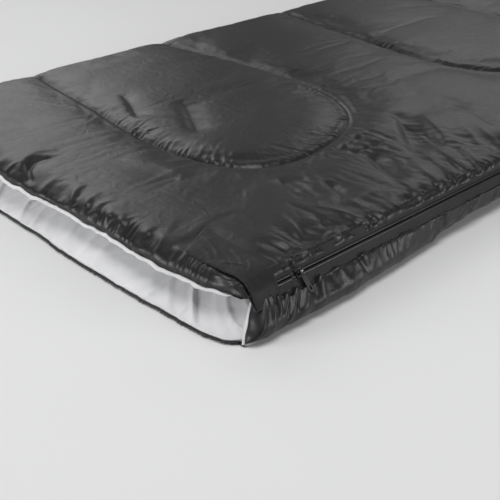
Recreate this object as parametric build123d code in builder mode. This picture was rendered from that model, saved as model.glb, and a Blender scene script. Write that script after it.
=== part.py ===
from build123d import *
import os
import math

os.makedirs("parts", exist_ok=True)

# Rectangular envelope sleeping bag, lying closed and flat.
# Frame: X across the bag (zip side +X, folded side -X), Y along it (open head end -Y, foot +Y), Z up.
# The origin is on the ground under the middle of the bag. All sizes are millimetres.

# ---------------------------------------------------------------- driving dimensions
HALF_L = 900.0          # half the length, head edge to foot
CROWN_X = 388.0         # outermost point of the folded side and of the side band
FOLD_CX = -357.0        # centre of the round folded side
AXIS_Z = 31.0           # mid height of the fold, where the cover turns
FOLD_R = 31.0           # outer radius of the fold
FOLD_RI = 6.0           # inner radius of the fold
SKIN = 1.2              # one layer of fabric
BASE_T = 25.0           # base quilt, bottom to lining
TOP_Z = 62.0            # top of the cover quilt
COVER_Z = 37.0          # underside of the cover quilt
FOLD_GAP = 0.3          # half the gap between cover and base along the fold
HEAD_Y = -897.6         # head edge of the base quilt
LIP_Y = -888.0          # head edge of the cover quilt
BASE_X = 361.5          # zip side edge of the base filling
PLATE_X = 373.5         # zip side edge of the base's outer shell
COVER_X = 358.0         # zip side edge of the cover quilt
BASE_FOOT = 873.5
PLATE_FOOT = 886.0
ZIP_X, ZIP_Z = 368.0, 45.0      # line where the two rows of the coil meet
ZIP_R = 70.0            # the zip turns the foot corner on this radius
ZIP_Y = 880.0           # the zip's line along the foot
CORNER_Y = ZIP_Y - ZIP_R
TAPE_W = 16.0           # width of each zip tape
TAPE_T = 1.0
GROOVE = 0.7            # half the gap between the tapes
COIL_R = 0.85
ZIP_HEAD = -880.0       # head end of the tapes
ZIP_END_X = -330.0      # the zip stops short of the fold at the foot
FOOT_END_X = -356.0
SLIDER_Y = -806.0
SLIDER_L = 11.0
STITCH_Y = [-690.0, -400.0, -110.0, 180.0, 470.0, 760.0]   # quilting lines of the base
STITCH_R = 145.0        # U-turn that joins a pair of lines
STITCH_TURN_X = 25.0
# one quilting loop of the cover, out from the fold, round and back; it repeats along the bag
QUILT_LOOP = [
    (-357, -640), (-281, -653), (-178, -668), (-51, -690), (40, -694), (100, -684), (145, -657), (167, -606), (165, -546),
    (150, -490), (117, -430), (74, -393), (24, -371), (-40, -358), (-140, -352), (-250, -358), (-357, -370),
]
QUILT_STEP = 580.0
THREAD_W, THREAD_T = 1.2, 0.5
TAB_Y0, TAB_Y1 = -875.0, -822.0     # closure tab, along the zip
TAB_END_X = 248.0
TAB_T = 2.0
PULL_L = 24.0

R2 = math.sqrt(0.5)


def zp(s, n):
    """A point of the inclined zip section: s outward and down across the tapes, n out of their face."""
    return (ZIP_X + R2 * (s + n), ZIP_Z + R2 * (n - s))


def circle3(a, b, c):
    """Centre and radius of the circle through three points."""
    d = 2 * (a[0] * (b[1] - c[1]) + b[0] * (c[1] - a[1]) + c[0] * (a[1] - b[1]))
    sa, sb, sc = (p[0] ** 2 + p[1] ** 2 for p in (a, b, c))
    ux = (sa * (b[1] - c[1]) + sb * (c[1] - a[1]) + sc * (a[1] - b[1])) / d
    uz = (sa * (c[0] - b[0]) + sb * (a[0] - c[0]) + sc * (b[0] - a[0])) / d
    return (ux, uz), math.hypot(a[0] - ux, a[1] - uz)


# the side band bulges from the ground to the lower edge of the base's zip tape
BAND_FOOT = (375.0, 0.0)
BAND_MID = (CROWN_X, 17.0)
BAND_TOP = zp(TAPE_W, -TAPE_T / 2)
BAND_C, BAND_R = circle3(BAND_FOOT, BAND_MID, BAND_TOP)


def on_band(p, inset):
    """The point p of the band's outer arc, moved in by inset."""
    dx, dz = p[0] - BAND_C[0], p[1] - BAND_C[1]
    k = (BAND_R - inset) / math.hypot(dx, dz)
    return (BAND_C[0] + k * dx, BAND_C[1] + k * dz)


BAND_FOOT_IN = on_band(BAND_FOOT, SKIN)
BAND_MID_IN = on_band(BAND_MID, SKIN)
BAND_TOP_IN = on_band(BAND_TOP, SKIN)
BAND_CORE_Z = SKIN + 0.1
BAND_CORE_X = BAND_C[0] + math.sqrt((BAND_R - SKIN) ** 2 - (BAND_CORE_Z - BAND_C[1]) ** 2)


def cover_section(o, i):
    """Cross-section of the cover quilt: o is the inset of its outside, i of its inside."""
    ro, ri = FOLD_R - o, FOLD_RI + i
    k = math.sqrt(0.5)
    with BuildLine() as outline:
        ThreePointArc((FOLD_CX - ro, AXIS_Z), (FOLD_CX - k * ro, AXIS_Z + k * ro), (FOLD_CX, AXIS_Z + ro))
        Polyline((FOLD_CX, TOP_Z - o), (380, TOP_Z - o), (380, COVER_Z + i), (FOLD_CX, COVER_Z + i))
        ThreePointArc((FOLD_CX, AXIS_Z + ri), (FOLD_CX - k * ri, AXIS_Z + k * ri), (FOLD_CX - ri, AXIS_Z))
        Line((FOLD_CX - ri, AXIS_Z), (FOLD_CX - ro, AXIS_Z))
    make_face(outline.edges())


def cover_profile(o):
    """Long section of the cover quilt, with its lip at the head."""
    with BuildLine() as outline:
        Polyline(
            (LIP_Y + o, AXIS_Z + FOLD_GAP),
            (LIP_Y + o, 43 - 0.5 * o),
            (-884 + o, 52 - 0.6 * o),
            (-876 + 0.6 * o, 59 - o),
            (-866, TOP_Z - o),
            (-850, TOP_Z + 2),
            (892, TOP_Z + 2),
            (892, AXIS_Z + FOLD_GAP),
            close=True,
        )
    make_face(outline.edges())


def outside_rim(o):
    """Everything outside the cover's rounded rim, beside the zip."""
    with BuildLine() as outline:
        Polyline(
            (335, TOP_Z - o),
            (350 - 0.3 * o, 60.5 - o),
            (356 - o, 55 - 0.6 * o),
            (COVER_X - o, 50),
            (COVER_X - 2 - o, COVER_Z),
            (COVER_X - 3 - o, 28),
            (420, 28),
            (420, 75),
            (335, 75),
            close=True,
        )
    make_face(outline.edges())


def base_section(o, i, edge):
    """Cross-section of the base quilt."""
    ro, ri = FOLD_R - o, FOLD_RI + i
    k = math.sqrt(0.5)
    with BuildLine() as outline:
        ThreePointArc((FOLD_CX - ro, AXIS_Z), (FOLD_CX - k * ro, AXIS_Z - k * ro), (FOLD_CX, AXIS_Z - ro))
        Polyline(
            (FOLD_CX, o),
            (edge, o),
            (edge, BASE_T - i),
            (FOLD_CX, BASE_T - i),
        )
        ThreePointArc((FOLD_CX, AXIS_Z - ri), (FOLD_CX - k * ri, AXIS_Z - k * ri), (FOLD_CX - ri, AXIS_Z))
        Line((FOLD_CX - ri, AXIS_Z), (FOLD_CX - ro, AXIS_Z))
    make_face(outline.edges())


def base_profile(h, i, foot):
    """Long section of the base quilt: it thins to the head edge."""
    with BuildLine() as outline:
        Polyline(
            (HEAD_Y + h, -1),
            (HEAD_Y + h, 4 - i),
            (-886, 14 - i),
            (-870, 22 - i),
            (-850, BASE_T - i),
            (-838, AXIS_Z - FOLD_GAP),
            (foot, AXIS_Z - FOLD_GAP),
            (foot, -1),
            close=True,
        )
    make_face(outline.edges())


def zip_path(y0, x1=ZIP_END_X):
    """The line of the zip: up the side, round the foot corner, along the foot."""
    with BuildLine() as path:
        Line((ZIP_X, y0, ZIP_Z), (ZIP_X, CORNER_Y, ZIP_Z))
        ThreePointArc(
            (ZIP_X, CORNER_Y, ZIP_Z),
            (ZIP_X - ZIP_R + R2 * ZIP_R, CORNER_Y + R2 * ZIP_R, ZIP_Z),
            (ZIP_X - ZIP_R, ZIP_Y, ZIP_Z),
        )
        Line((ZIP_X - ZIP_R, ZIP_Y, ZIP_Z), (x1, ZIP_Y, ZIP_Z))
    return path


def foot_path():
    """The foot band's line: round the corner and along the foot."""
    with BuildLine() as path:
        ThreePointArc(
            (ZIP_X, CORNER_Y, ZIP_Z),
            (ZIP_X - ZIP_R + R2 * ZIP_R, CORNER_Y + R2 * ZIP_R, ZIP_Z),
            (ZIP_X - ZIP_R, ZIP_Y, ZIP_Z),
        )
        Line((ZIP_X - ZIP_R, ZIP_Y, ZIP_Z), (FOOT_END_X, ZIP_Y, ZIP_Z))
    return path


def band_skin():
    with BuildLine() as outline:
        ThreePointArc(BAND_FOOT, BAND_MID, BAND_TOP)
        Line(BAND_TOP, BAND_TOP_IN)
        ThreePointArc(BAND_TOP_IN, BAND_MID_IN, BAND_FOOT_IN)
        Line(BAND_FOOT_IN, BAND_FOOT)
    make_face(outline.edges())


def band_core():
    with BuildLine() as outline:
        ThreePointArc((BAND_CORE_X, BAND_CORE_Z), BAND_MID_IN, BAND_TOP_IN)
        Polyline(BAND_TOP_IN, (371, 35.5), (362, 35.5), (362, BAND_CORE_Z), (BAND_CORE_X, BAND_CORE_Z))
    make_face(outline.edges())


def band_inner():
    with BuildLine() as outline:
        Polyline((360.8, 25.2), (362, 25.2), (362, 35.5), (371, 35.5), (371, 36.7), (360.8, 36.7), close=True)
    make_face(outline.edges())


# ================================================================ base
# inside of the base casing, the room for filling and lining
with BuildPart() as base_room:
    with BuildSketch(Plane.XZ):
        base_section(SKIN, -1, PLATE_X + 20)
    extrude(amount=1000, both=True)
    with BuildSketch(Plane.YZ):
        base_profile(SKIN, -2, PLATE_FOOT + 20)
    extrude(amount=500, both=True, mode=Mode.INTERSECT)

# black shell: under the whole base, round the fold, thin at the head edge
with BuildPart() as base_outer_shell:
    with BuildSketch(Plane.XZ):
        base_section(0, 0, PLATE_X)
    extrude(amount=1000, both=True)
    with BuildSketch(Plane.YZ):
        base_profile(0, 0, PLATE_FOOT)
    extrude(amount=500, both=True, mode=Mode.INTERSECT)
    with BuildSketch(Plane.XY.offset(-5)):
        with BuildLine():
            Polyline((PLATE_X, CORNER_Y), (PLATE_X, -950), (-450, -950), (-450, PLATE_FOOT), (298, PLATE_FOOT))
            RadiusArc((298, PLATE_FOOT), (PLATE_X, CORNER_Y), 76)
        make_face()
    extrude(amount=80, mode=Mode.INTERSECT)
    add(base_room.part, mode=Mode.SUBTRACT)
base_outer_shell.part.label = "base_outer_shell"
export_step(base_outer_shell.part, "parts/base_outer_shell.step")

# hollow-fibre filling of the base quilt
with BuildPart() as base_filling:
    with BuildSketch(Plane.XZ):
        base_section(SKIN, SKIN, BASE_X)
    extrude(amount=1000, both=True)
    with BuildSketch(Plane.YZ):
        base_profile(SKIN, SKIN, PLATE_FOOT)
    extrude(amount=500, both=True, mode=Mode.INTERSECT)
    with BuildSketch(Plane.XY.offset(-5)):
        with BuildLine():
            Polyline((BASE_X, CORNER_Y), (BASE_X, -950), (-450, -950), (-450, BASE_FOOT), (298, BASE_FOOT))
            RadiusArc((298, BASE_FOOT), (BASE_X, CORNER_Y), 63.5)
        make_face()
        with Locations((-403.7, 850)):
            Rectangle(93, 80)
    extrude(amount=80, mode=Mode.INTERSECT)
base_filling.part.label = "base_filling"
export_step(base_filling.part, "parts/base_filling.step")

# light lining on top of the base
with BuildPart() as base_lining:
    with BuildSketch(Plane.XZ):
        base_section(SKIN, 0, BASE_X - 1)
    extrude(amount=1000, both=True)
    with BuildSketch(Plane.YZ):
        base_profile(SKIN, 0, PLATE_FOOT)
    extrude(amount=500, both=True, mode=Mode.INTERSECT)
    with BuildSketch(Plane.XY.offset(-5)):
        with BuildLine():
            Polyline((BASE_X - 1, CORNER_Y), (BASE_X - 1, -950), (-450, -950), (-450, BASE_FOOT - 1), (298, BASE_FOOT - 1))
            RadiusArc((298, BASE_FOOT - 1), (BASE_X - 1, CORNER_Y), 62.5)
        make_face()
        with Locations((-403.7, 850)):
            Rectangle(93, 80)
    extrude(amount=80, mode=Mode.INTERSECT)
    add(base_filling.part, mode=Mode.SUBTRACT)
base_lining.part.label = "base_lining"
export_step(base_lining.part, "parts/base_lining.step")

# narrow black binding along the head edge of the base
with BuildPart() as base_head_binding:
    with BuildSketch(Plane.YZ):
        with BuildLine():
            Polyline((-897.6, 0), (-899.2, 0), (-900, 0.8), (-900, 3.8), (-899.2, 4.8), (-897.6, 4.8), close=True)
        make_face()
    extrude(amount=366, both=True)
base_head_binding.part.label = "base_head_binding"
export_step(base_head_binding.part, "parts/base_head_binding.step")

# quilting thread of the base, on its lining: cross lines, joined in pairs by U-turns
with BuildPart() as base_quilting_thread:
    with BuildSketch(Plane.XY.offset(BASE_T)):
        for a, b in ((1, 2), (3, 4)):
            with Locations((STITCH_TURN_X, (STITCH_Y[a] + STITCH_Y[b]) / 2)):
                Circle(STITCH_R + THREAD_W / 2)
                Circle(STITCH_R - THREAD_W / 2, mode=Mode.SUBTRACT)
            with Locations((STITCH_TURN_X - 200, (STITCH_Y[a] + STITCH_Y[b]) / 2)):
                Rectangle(400, 2 * STITCH_R + 10, mode=Mode.SUBTRACT)
        for n, y in enumerate(STITCH_Y):
            x1 = STITCH_TURN_X if 0 < n < 5 else 355
            with Locations(((FOLD_CX + x1) / 2, y)):
                Rectangle(x1 - FOLD_CX, THREAD_W)
    extrude(amount=THREAD_T)
base_quilting_thread.part.label = "base_quilting_thread"
export_step(base_quilting_thread.part, "parts/base_quilting_thread.step")

# ================================================================ side band, below the zip
with BuildPart() as side_band_shell:
    with BuildSketch(Plane.XZ.offset(-CORNER_Y)):
        band_skin()
    extrude(amount=CORNER_Y - HEAD_Y)
side_band_shell.part.label = "side_band_shell"
export_step(side_band_shell.part, "parts/side_band_shell.step")

with BuildPart() as side_band_filling:
    with BuildSketch(Plane.XZ.offset(-CORNER_Y)):
        band_core()
    extrude(amount=CORNER_Y - HEAD_Y - 1.3)
side_band_filling.part.label = "side_band_filling"
export_step(side_band_filling.part, "parts/side_band_filling.step")

with BuildPart() as side_band_lining:
    with BuildSketch(Plane.XZ.offset(-CORNER_Y)):
        band_inner()
    extrude(amount=CORNER_Y - HEAD_Y)
side_band_lining.part.label = "side_band_lining"
export_step(side_band_lining.part, "parts/side_band_lining.step")

# light facing that closes the head end of the side band
with BuildPart() as side_band_facing:
    with BuildSketch(Plane.XZ.offset(-HEAD_Y)):
        with BuildLine():
            ThreePointArc((375.2, 0.6), (CROWN_X - 0.3, 17.0), (378.6, 33.1))
            Polyline((378.6, 33.1), (371, 36), (366.4, 36), (366.4, 0.6), (375.2, 0.6))
        make_face()
    extrude(amount=SKIN)
side_band_facing.part.label = "side_band_facing"
export_step(side_band_facing.part, "parts/side_band_facing.step")

# ================================================================ foot band
with BuildPart() as foot_band_shell:
    foot_line = foot_path()
    with BuildSketch(Plane.XZ.offset(-CORNER_Y)):
        band_skin()
    sweep(path=foot_line.line)
foot_band_shell.part.label = "foot_band_shell"
export_step(foot_band_shell.part, "parts/foot_band_shell.step")

with BuildPart() as foot_band_filling:
    foot_line = foot_path()
    with BuildSketch(Plane.XZ.offset(-CORNER_Y)):
        band_core()
    sweep(path=foot_line.line)
foot_band_filling.part.label = "foot_band_filling"
export_step(foot_band_filling.part, "parts/foot_band_filling.step")

with BuildPart() as foot_band_lining:
    foot_line = foot_path()
    with BuildSketch(Plane.XZ.offset(-CORNER_Y)):
        band_inner()
    sweep(path=foot_line.line)
foot_band_lining.part.label = "foot_band_lining"
export_step(foot_band_lining.part, "parts/foot_band_lining.step")

# ================================================================ zip, one half on each body
def tape_face(s0, s1):
    with BuildLine() as outline:
        Polyline(zp(s0, -TAPE_T / 2), zp(s1, -TAPE_T / 2), zp(s1, TAPE_T / 2), zp(s0, TAPE_T / 2), close=True)
    make_face(outline.edges())


with BuildPart() as base_zip_tape:
    zip_line = zip_path(ZIP_HEAD)
    with BuildSketch(Plane.XZ.offset(-ZIP_HEAD)):
        tape_face(GROOVE, TAPE_W)
    sweep(path=zip_line.line)
base_zip_tape.part.label = "base_zip_tape"
export_step(base_zip_tape.part, "parts/base_zip_tape.step")

with BuildPart() as cover_zip_tape:
    zip_line = zip_path(ZIP_HEAD)
    with BuildSketch(Plane.XZ.offset(-ZIP_HEAD)):
        tape_face(-TAPE_W, -GROOVE)
    sweep(path=zip_line.line)
cover_zip_tape.part.label = "cover_zip_tape"
export_step(cover_zip_tape.part, "parts/cover_zip_tape.step")

# the coils run on the inner face of the tapes, beside the groove
COIL_HEAD = SLIDER_Y - SLIDER_L / 2 - 2
with BuildPart() as base_zip_coil:
    zip_line = zip_path(COIL_HEAD)
    with BuildSketch(Plane.XZ.offset(-COIL_HEAD)):
        with Locations(zp(GROOVE + COIL_R, -TAPE_T / 2 - COIL_R)):
            Circle(COIL_R)
    sweep(path=zip_line.line)
base_zip_coil.part.label = "base_zip_coil"
export_step(base_zip_coil.part, "parts/base_zip_coil.step")

with BuildPart() as cover_zip_coil:
    zip_line = zip_path(COIL_HEAD)
    with BuildSketch(Plane.XZ.offset(-COIL_HEAD)):
        with Locations(zp(-GROOVE - COIL_R, -TAPE_T / 2 - COIL_R)):
            Circle(COIL_R)
    sweep(path=zip_line.line)
cover_zip_coil.part.label = "cover_zip_coil"
export_step(cover_zip_coil.part, "parts/cover_zip_coil.step")


def stop_face(s0, s1):
    """A stop is a small clip folded over the tape's inner edge."""
    with BuildLine() as outline:
        Polyline(
            zp(s0, -1.3), zp(s1, -1.3), zp(s1, -0.5), zp(s0 + 0.35 * (1 if s1 > s0 else -1), -0.5),
            zp(s0 + 0.35 * (1 if s1 > s0 else -1), 0.5), zp(s1, 0.5), zp(s1, 1.3), zp(s0, 1.3), close=True,
        )
    make_face(outline.edges())


STOP_Y = SLIDER_Y - SLIDER_L / 2 - 2.5
with BuildPart() as base_zip_top_stop:
    with BuildSketch(Plane.XZ.offset(-STOP_Y)):
        stop_face(GROOVE - 0.35, 3.6)
    extrude(amount=3.5)
base_zip_top_stop.part.label = "base_zip_top_stop"
export_step(base_zip_top_stop.part, "parts/base_zip_top_stop.step")

with BuildPart() as cover_zip_top_stop:
    with BuildSketch(Plane.XZ.offset(-STOP_Y)):
        stop_face(-GROOVE + 0.35, -3.6)
    extrude(amount=3.5)
cover_zip_top_stop.part.label = "cover_zip_top_stop"
export_step(cover_zip_top_stop.part, "parts/cover_zip_top_stop.step")

# moulded stop at the far end of the zip, by the fold
foot_plane = Plane(origin=(ZIP_END_X, ZIP_Y - ZIP_X, 0), x_dir=(0, 1, 0), z_dir=(1, 0, 0))
with BuildPart() as zip_bottom_stop:
    with BuildSketch(foot_plane.offset(-4)):
        with BuildLine():
            Polyline(zp(0.3, -2.6), zp(6, -2.6), zp(6, 1.6), zp(0.3, 1.6), close=True)
        make_face()
    extrude(amount=4)
zip_bottom_stop.part.label = "zip_bottom_stop"
export_step(zip_bottom_stop.part, "parts/zip_bottom_stop.step")

# ================================================================ cover
# what lies outside the cover's rim, and outside the rim of its filling
with BuildPart() as around_cover:
    rim_line = zip_path(-950, -430)
    with BuildSketch(Plane.XZ.offset(950)):
        outside_rim(0)
    sweep(path=rim_line.line)

with BuildPart() as around_cover_filling:
    rim_line = zip_path(-950, -430)
    with BuildSketch(Plane.XZ.offset(950)):
        outside_rim(SKIN)
    sweep(path=rim_line.line)

# inside of the cover casing
with BuildPart() as cover_room:
    with BuildSketch(Plane.XZ):
        cover_section(SKIN, -1)
    extrude(amount=1000, both=True)
    with BuildSketch(Plane.YZ):
        cover_profile(SKIN)
    extrude(amount=500, both=True, mode=Mode.INTERSECT)
    add(around_cover_filling.part, mode=Mode.SUBTRACT)

# black shell over the top and round the fold
with BuildPart() as cover_outer_shell:
    with BuildSketch(Plane.XZ):
        cover_section(0, 0)
    extrude(amount=1000, both=True)
    with BuildSketch(Plane.YZ):
        cover_profile(0)
    extrude(amount=500, both=True, mode=Mode.INTERSECT)
    add(around_cover.part, mode=Mode.SUBTRACT)
    add(cover_room.part, mode=Mode.SUBTRACT)
cover_outer_shell.part.label = "cover_outer_shell"
export_step(cover_outer_shell.part, "parts/cover_outer_shell.step")

with BuildPart() as cover_filling:
    with BuildSketch(Plane.XZ):
        cover_section(SKIN, SKIN)
    extrude(amount=1000, both=True)
    with BuildSketch(Plane.YZ):
        cover_profile(SKIN)
    extrude(amount=500, both=True, mode=Mode.INTERSECT)
    add(around_cover_filling.part, mode=Mode.SUBTRACT)
cover_filling.part.label = "cover_filling"
export_step(cover_filling.part, "parts/cover_filling.step")

with BuildPart() as cover_lining:
    with BuildSketch(Plane.XZ):
        cover_section(SKIN, 0)
    extrude(amount=1000, both=True)
    with BuildSketch(Plane.YZ):
        cover_profile(SKIN)
    extrude(amount=500, both=True, mode=Mode.INTERSECT)
    add(around_cover_filling.part, mode=Mode.SUBTRACT)
    add(cover_filling.part, mode=Mode.SUBTRACT)
cover_lining.part.label = "cover_lining"
export_step(cover_lining.part, "parts/cover_lining.step")

# light rolled hem along the cover's head edge
with BuildPart() as cover_head_hem:
    with BuildSketch(Plane.YZ):
        with Locations((LIP_Y - 2.7, 40.4)):
            Ellipse(2.7, 3.1)
    extrude(amount=354, both=True)
cover_head_hem.part.label = "cover_head_hem"
export_step(cover_head_hem.part, "parts/cover_head_hem.step")

# quilting thread of the cover: each loop goes out from the fold, turns and comes back


def beside(points, off):
    """The points moved sideways by off, square to the line through them."""
    out = []
    for k, (x, y) in enumerate(points):
        x0, y0 = points[max(k - 1, 0)]
        x1, y1 = points[min(k + 1, len(points) - 1)]
        d = math.hypot(x1 - x0, y1 - y0)
        out.append((x - off * (y1 - y0) / d, y + off * (x1 - x0) / d))
    return out


with BuildPart() as cover_quilting_thread:
    for n in range(3):
        loop_line = [(x, y + n * QUILT_STEP) for x, y in QUILT_LOOP]
        left, right = beside(loop_line, THREAD_W / 2), beside(loop_line, -THREAD_W / 2)[::-1]
        with BuildSketch(Plane.XY.offset(TOP_Z)):
            with BuildLine() as outline:
                Spline(*left)
                Line(left[-1], right[0])
                Spline(*right)
                Line(right[-1], left[0])
            make_face(outline.edges())
        extrude(amount=THREAD_T)
cover_quilting_thread.part.label = "cover_quilting_thread"
export_step(cover_quilting_thread.part, "parts/cover_quilting_thread.step")

# soft loop patch on the cover, under the closure tab
with BuildPart() as loop_patch:
    with BuildSketch(Plane.XY.offset(TOP_Z)):
        with Locations((292, -840)):
            RectangleRounded(76, 34, 3)
    extrude(amount=1.2)
loop_patch.part.label = "loop_patch"
export_step(loop_patch.part, "parts/loop_patch.step")

# ================================================================ slider
with BuildPart() as slider_body:
    with BuildSketch(Plane.XZ.offset(-(SLIDER_Y + SLIDER_L / 2))):
        with BuildLine():
            Polyline(zp(-4.8, 1.0), zp(4.8, 1.0), zp(4.8, 1.5), zp(4.0, 2.2), zp(-4.0, 2.2), zp(-4.8, 1.5), close=True)
        make_face()
        with BuildLine():
            Polyline(
                zp(-4.8, -1.0), zp(-3.9, -1.0), zp(-3.9, -2.9), zp(3.9, -2.9), zp(3.9, -1.0), zp(4.8, -1.0),
                zp(4.8, -3.4), zp(4.0, -4.1), zp(-4.0, -4.1), zp(-4.8, -3.4), close=True,
            )
        make_face()
    extrude(amount=SLIDER_L)
    with BuildSketch(Plane.XZ.offset(-(SLIDER_Y - SLIDER_L / 2 + 2.6))):
        with BuildLine():
            Polyline(zp(-0.35, -3.0), zp(0.35, -3.0), zp(0.35, 1.2), zp(-0.35, 1.2), close=True)
        make_face()
    extrude(amount=2.6)
slider_body.part.label = "slider_body"
export_step(slider_body.part, "parts/slider_body.step")

# crown: the arch that holds the pull
CROWN_N = 5.0
crown_plane = Plane(origin=(ZIP_X, SLIDER_Y, ZIP_Z), x_dir=(0, 1, 0), z_dir=(R2, 0, -R2))
with BuildPart() as slider_crown:
    with BuildSketch(crown_plane):
        with BuildLine():
            Polyline(
                (-4.9, 2.2), (-4.9, 4.6), (-3.8, 5.7), (3.8, 5.7), (4.9, 4.6), (4.9, 2.2),
                (3.5, 2.2), (3.5, 3.8), (3.0, 4.3), (-3.0, 4.3), (-3.5, 3.8), (-3.5, 2.2), close=True,
            )
        make_face()
    extrude(amount=0.7, both=True)
slider_crown.part.label = "slider_crown"
export_step(slider_crown.part, "parts/slider_crown.step")

# pull tab: an eye round the crown's bar and a flat grip that hangs down the side
grip_plane = Plane(
    origin=(zp(PULL_L / 2 + 1.5, 4.3)[0], SLIDER_Y, zp(PULL_L / 2 + 1.5, 4.3)[1]), x_dir=(R2, 0, -R2), z_dir=(R2, 0, R2)
)
with BuildPart() as pull_tab:
    with BuildSketch(grip_plane):
        with BuildLine():
            Polyline(
                (-PULL_L / 2 + 0.3, -1.6), (-PULL_L / 2 + 4.0, -1.6), (-PULL_L / 2 + 6.5, -3.2), (PULL_L / 2 - 2.5, -3.6),
                (PULL_L / 2 - 0.6, -2.6), (PULL_L / 2, -1.0), (PULL_L / 2, 1.0), (PULL_L / 2 - 0.6, 2.6),
                (PULL_L / 2 - 2.5, 3.6), (-PULL_L / 2 + 6.5, 3.2), (-PULL_L / 2 + 4.0, 1.6), (-PULL_L / 2 + 0.3, 1.6), close=True,
            )
        make_face()
        with Locations((PULL_L / 2 - 5.5, 0)):
            SlotOverall(6.0, 3.0, mode=Mode.SUBTRACT)
    extrude(amount=1.4)
    with BuildSketch(Plane.XZ.offset(-(SLIDER_Y + 1.6))):
        with Locations(zp(0, CROWN_N)):
            Circle(2.4)
    extrude(amount=3.2)
    with BuildSketch(Plane.XZ.offset(-(SLIDER_Y + 2))):
        with Locations(zp(0, CROWN_N)):
            Circle(1.35)
    extrude(amount=4, mode=Mode.SUBTRACT)
pull_tab.part.label = "pull_tab"
export_step(pull_tab.part, "parts/pull_tab.step")

# ================================================================ closure tab over the end of the zip
with BuildPart() as closure_tab:
    with BuildSketch(Plane.XZ.offset(-TAB_Y1)):
        with BuildLine():
            Polyline(
                zp(18, 0.9), (357.3, 56.95), (348, 64.7), (TAB_END_X, 64.7),
                (TAB_END_X, 64.7 + TAB_T), (348.7, 64.7 + TAB_T), (358.6, 58.6), zp(18, 0.9 + TAB_T), close=True,
            )
        make_face()
    extrude(amount=TAB_Y1 - TAB_Y0)
closure_tab.part.label = "closure_tab"
export_step(closure_tab.part, "parts/closure_tab.step")

# stiff hook patch sewn under the tab
with BuildPart() as hook_patch:
    with BuildSketch(Plane.XY.offset(63.5)):
        with Locations((292, -840)):
            RectangleRounded(76, 34, 3)
    extrude(amount=1.2)
hook_patch.part.label = "hook_patch"
export_step(hook_patch.part, "parts/hook_patch.step")
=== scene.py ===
import math
import bpy
import numpy as np
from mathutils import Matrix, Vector


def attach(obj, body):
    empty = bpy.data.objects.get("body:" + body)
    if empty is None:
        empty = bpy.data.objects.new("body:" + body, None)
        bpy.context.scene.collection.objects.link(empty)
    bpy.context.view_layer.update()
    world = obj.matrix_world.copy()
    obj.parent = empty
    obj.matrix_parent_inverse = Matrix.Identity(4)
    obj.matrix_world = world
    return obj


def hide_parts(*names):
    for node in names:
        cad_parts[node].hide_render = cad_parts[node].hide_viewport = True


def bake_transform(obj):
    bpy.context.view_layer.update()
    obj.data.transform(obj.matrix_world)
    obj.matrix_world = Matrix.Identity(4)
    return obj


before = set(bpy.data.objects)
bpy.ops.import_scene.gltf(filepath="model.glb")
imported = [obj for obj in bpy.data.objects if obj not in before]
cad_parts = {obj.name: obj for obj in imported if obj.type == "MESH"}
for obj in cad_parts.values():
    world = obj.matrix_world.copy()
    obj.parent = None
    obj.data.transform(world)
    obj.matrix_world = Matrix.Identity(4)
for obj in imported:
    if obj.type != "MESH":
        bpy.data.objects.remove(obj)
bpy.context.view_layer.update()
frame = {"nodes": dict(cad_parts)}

MM = 0.001
R2 = math.sqrt(0.5)

# ------------------------------------------------------------------ numbers of the bag, in mm
ZX, ZZ = 368.0, 45.0                 # line of the zip
FCX, FR = -357.0, 31.0               # fold: centre and outer radius
ARC = FR * math.pi / 2
SEAM_X, SEAM_Z = ZX + R2 * -5.6, ZZ + R2 * 7.4      # cover's seam on the tape
SEAM_FOOT = 876.0
SEAM_R = 66.0
LIP = -888.0
HEAD = -898.0
STITCH_Y = [-690.0, -400.0, -110.0, 180.0, 470.0, 760.0]
TURN_X, TURN_R = 25.0, 145.0
QUILT_LOOP = [
    (-357, -640), (-281, -653), (-178, -668), (-51, -690), (40, -694), (100, -684), (145, -657), (167, -606), (165, -546),
    (150, -490), (117, -430), (74, -393), (24, -371), (-40, -358), (-140, -352), (-250, -358), (-357, -370),
]
QUILT_STEP = 580.0


# ------------------------------------------------------------------ numeric helpers
_tab = np.random.RandomState(11).rand(8, 256, 256)


def vnoise(x, y, seed=0):
    t = _tab[seed % 8]
    x = np.asarray(x, float) + 17.3 * seed
    y = np.asarray(y, float) + 9.7 * seed
    xi, yi = np.floor(x).astype(int), np.floor(y).astype(int)
    fx, fy = x - xi, y - yi
    fx = fx * fx * fx * (fx * (fx * 6 - 15) + 10)
    fy = fy * fy * fy * (fy * (fy * 6 - 15) + 10)
    a, b = t[xi & 255, yi & 255], t[(xi + 1) & 255, yi & 255]
    c, d = t[xi & 255, (yi + 1) & 255], t[(xi + 1) & 255, (yi + 1) & 255]
    return 2 * ((a * (1 - fx) + b * fx) * (1 - fy) + (c * (1 - fx) + d * fx) * fy) - 1


def fbm(x, y, seed=0, octaves=4, gain=0.5):
    s, a, n = 0.0, 1.0, 0.0
    for k in range(octaves):
        s = s + a * vnoise(np.asarray(x) * 2 ** k, np.asarray(y) * 2 ** k, seed + k)
        n += a
        a *= gain
    return s / n


def ridge(x, y, seed=0, octaves=3):
    """Sharp-crested folds, 0 to 1."""
    s, a, n = 0.0, 1.0, 0.0
    for k in range(octaves):
        v = 1 - np.abs(vnoise(np.asarray(x) * 2 ** k, np.asarray(y) * 2 ** k, seed + k)) * 1.6
        s = s + a * np.clip(v, 0, 1) ** 2
        n += a
        a *= 0.45
    return s / n


def sstep(a, b, x):
    t = np.clip((np.asarray(x, float) - a) / (b - a), 0, 1)
    return t * t * (3 - 2 * t)


def graded(a, b, h):
    """Coordinates from a to b whose spacing follows h(x)."""
    out = [a]
    while out[-1] < b:
        out.append(out[-1] + h(out[-1]))
    out = np.array(out)
    return a + (out - a) * (b - a) / (out[-1] - a)


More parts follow.
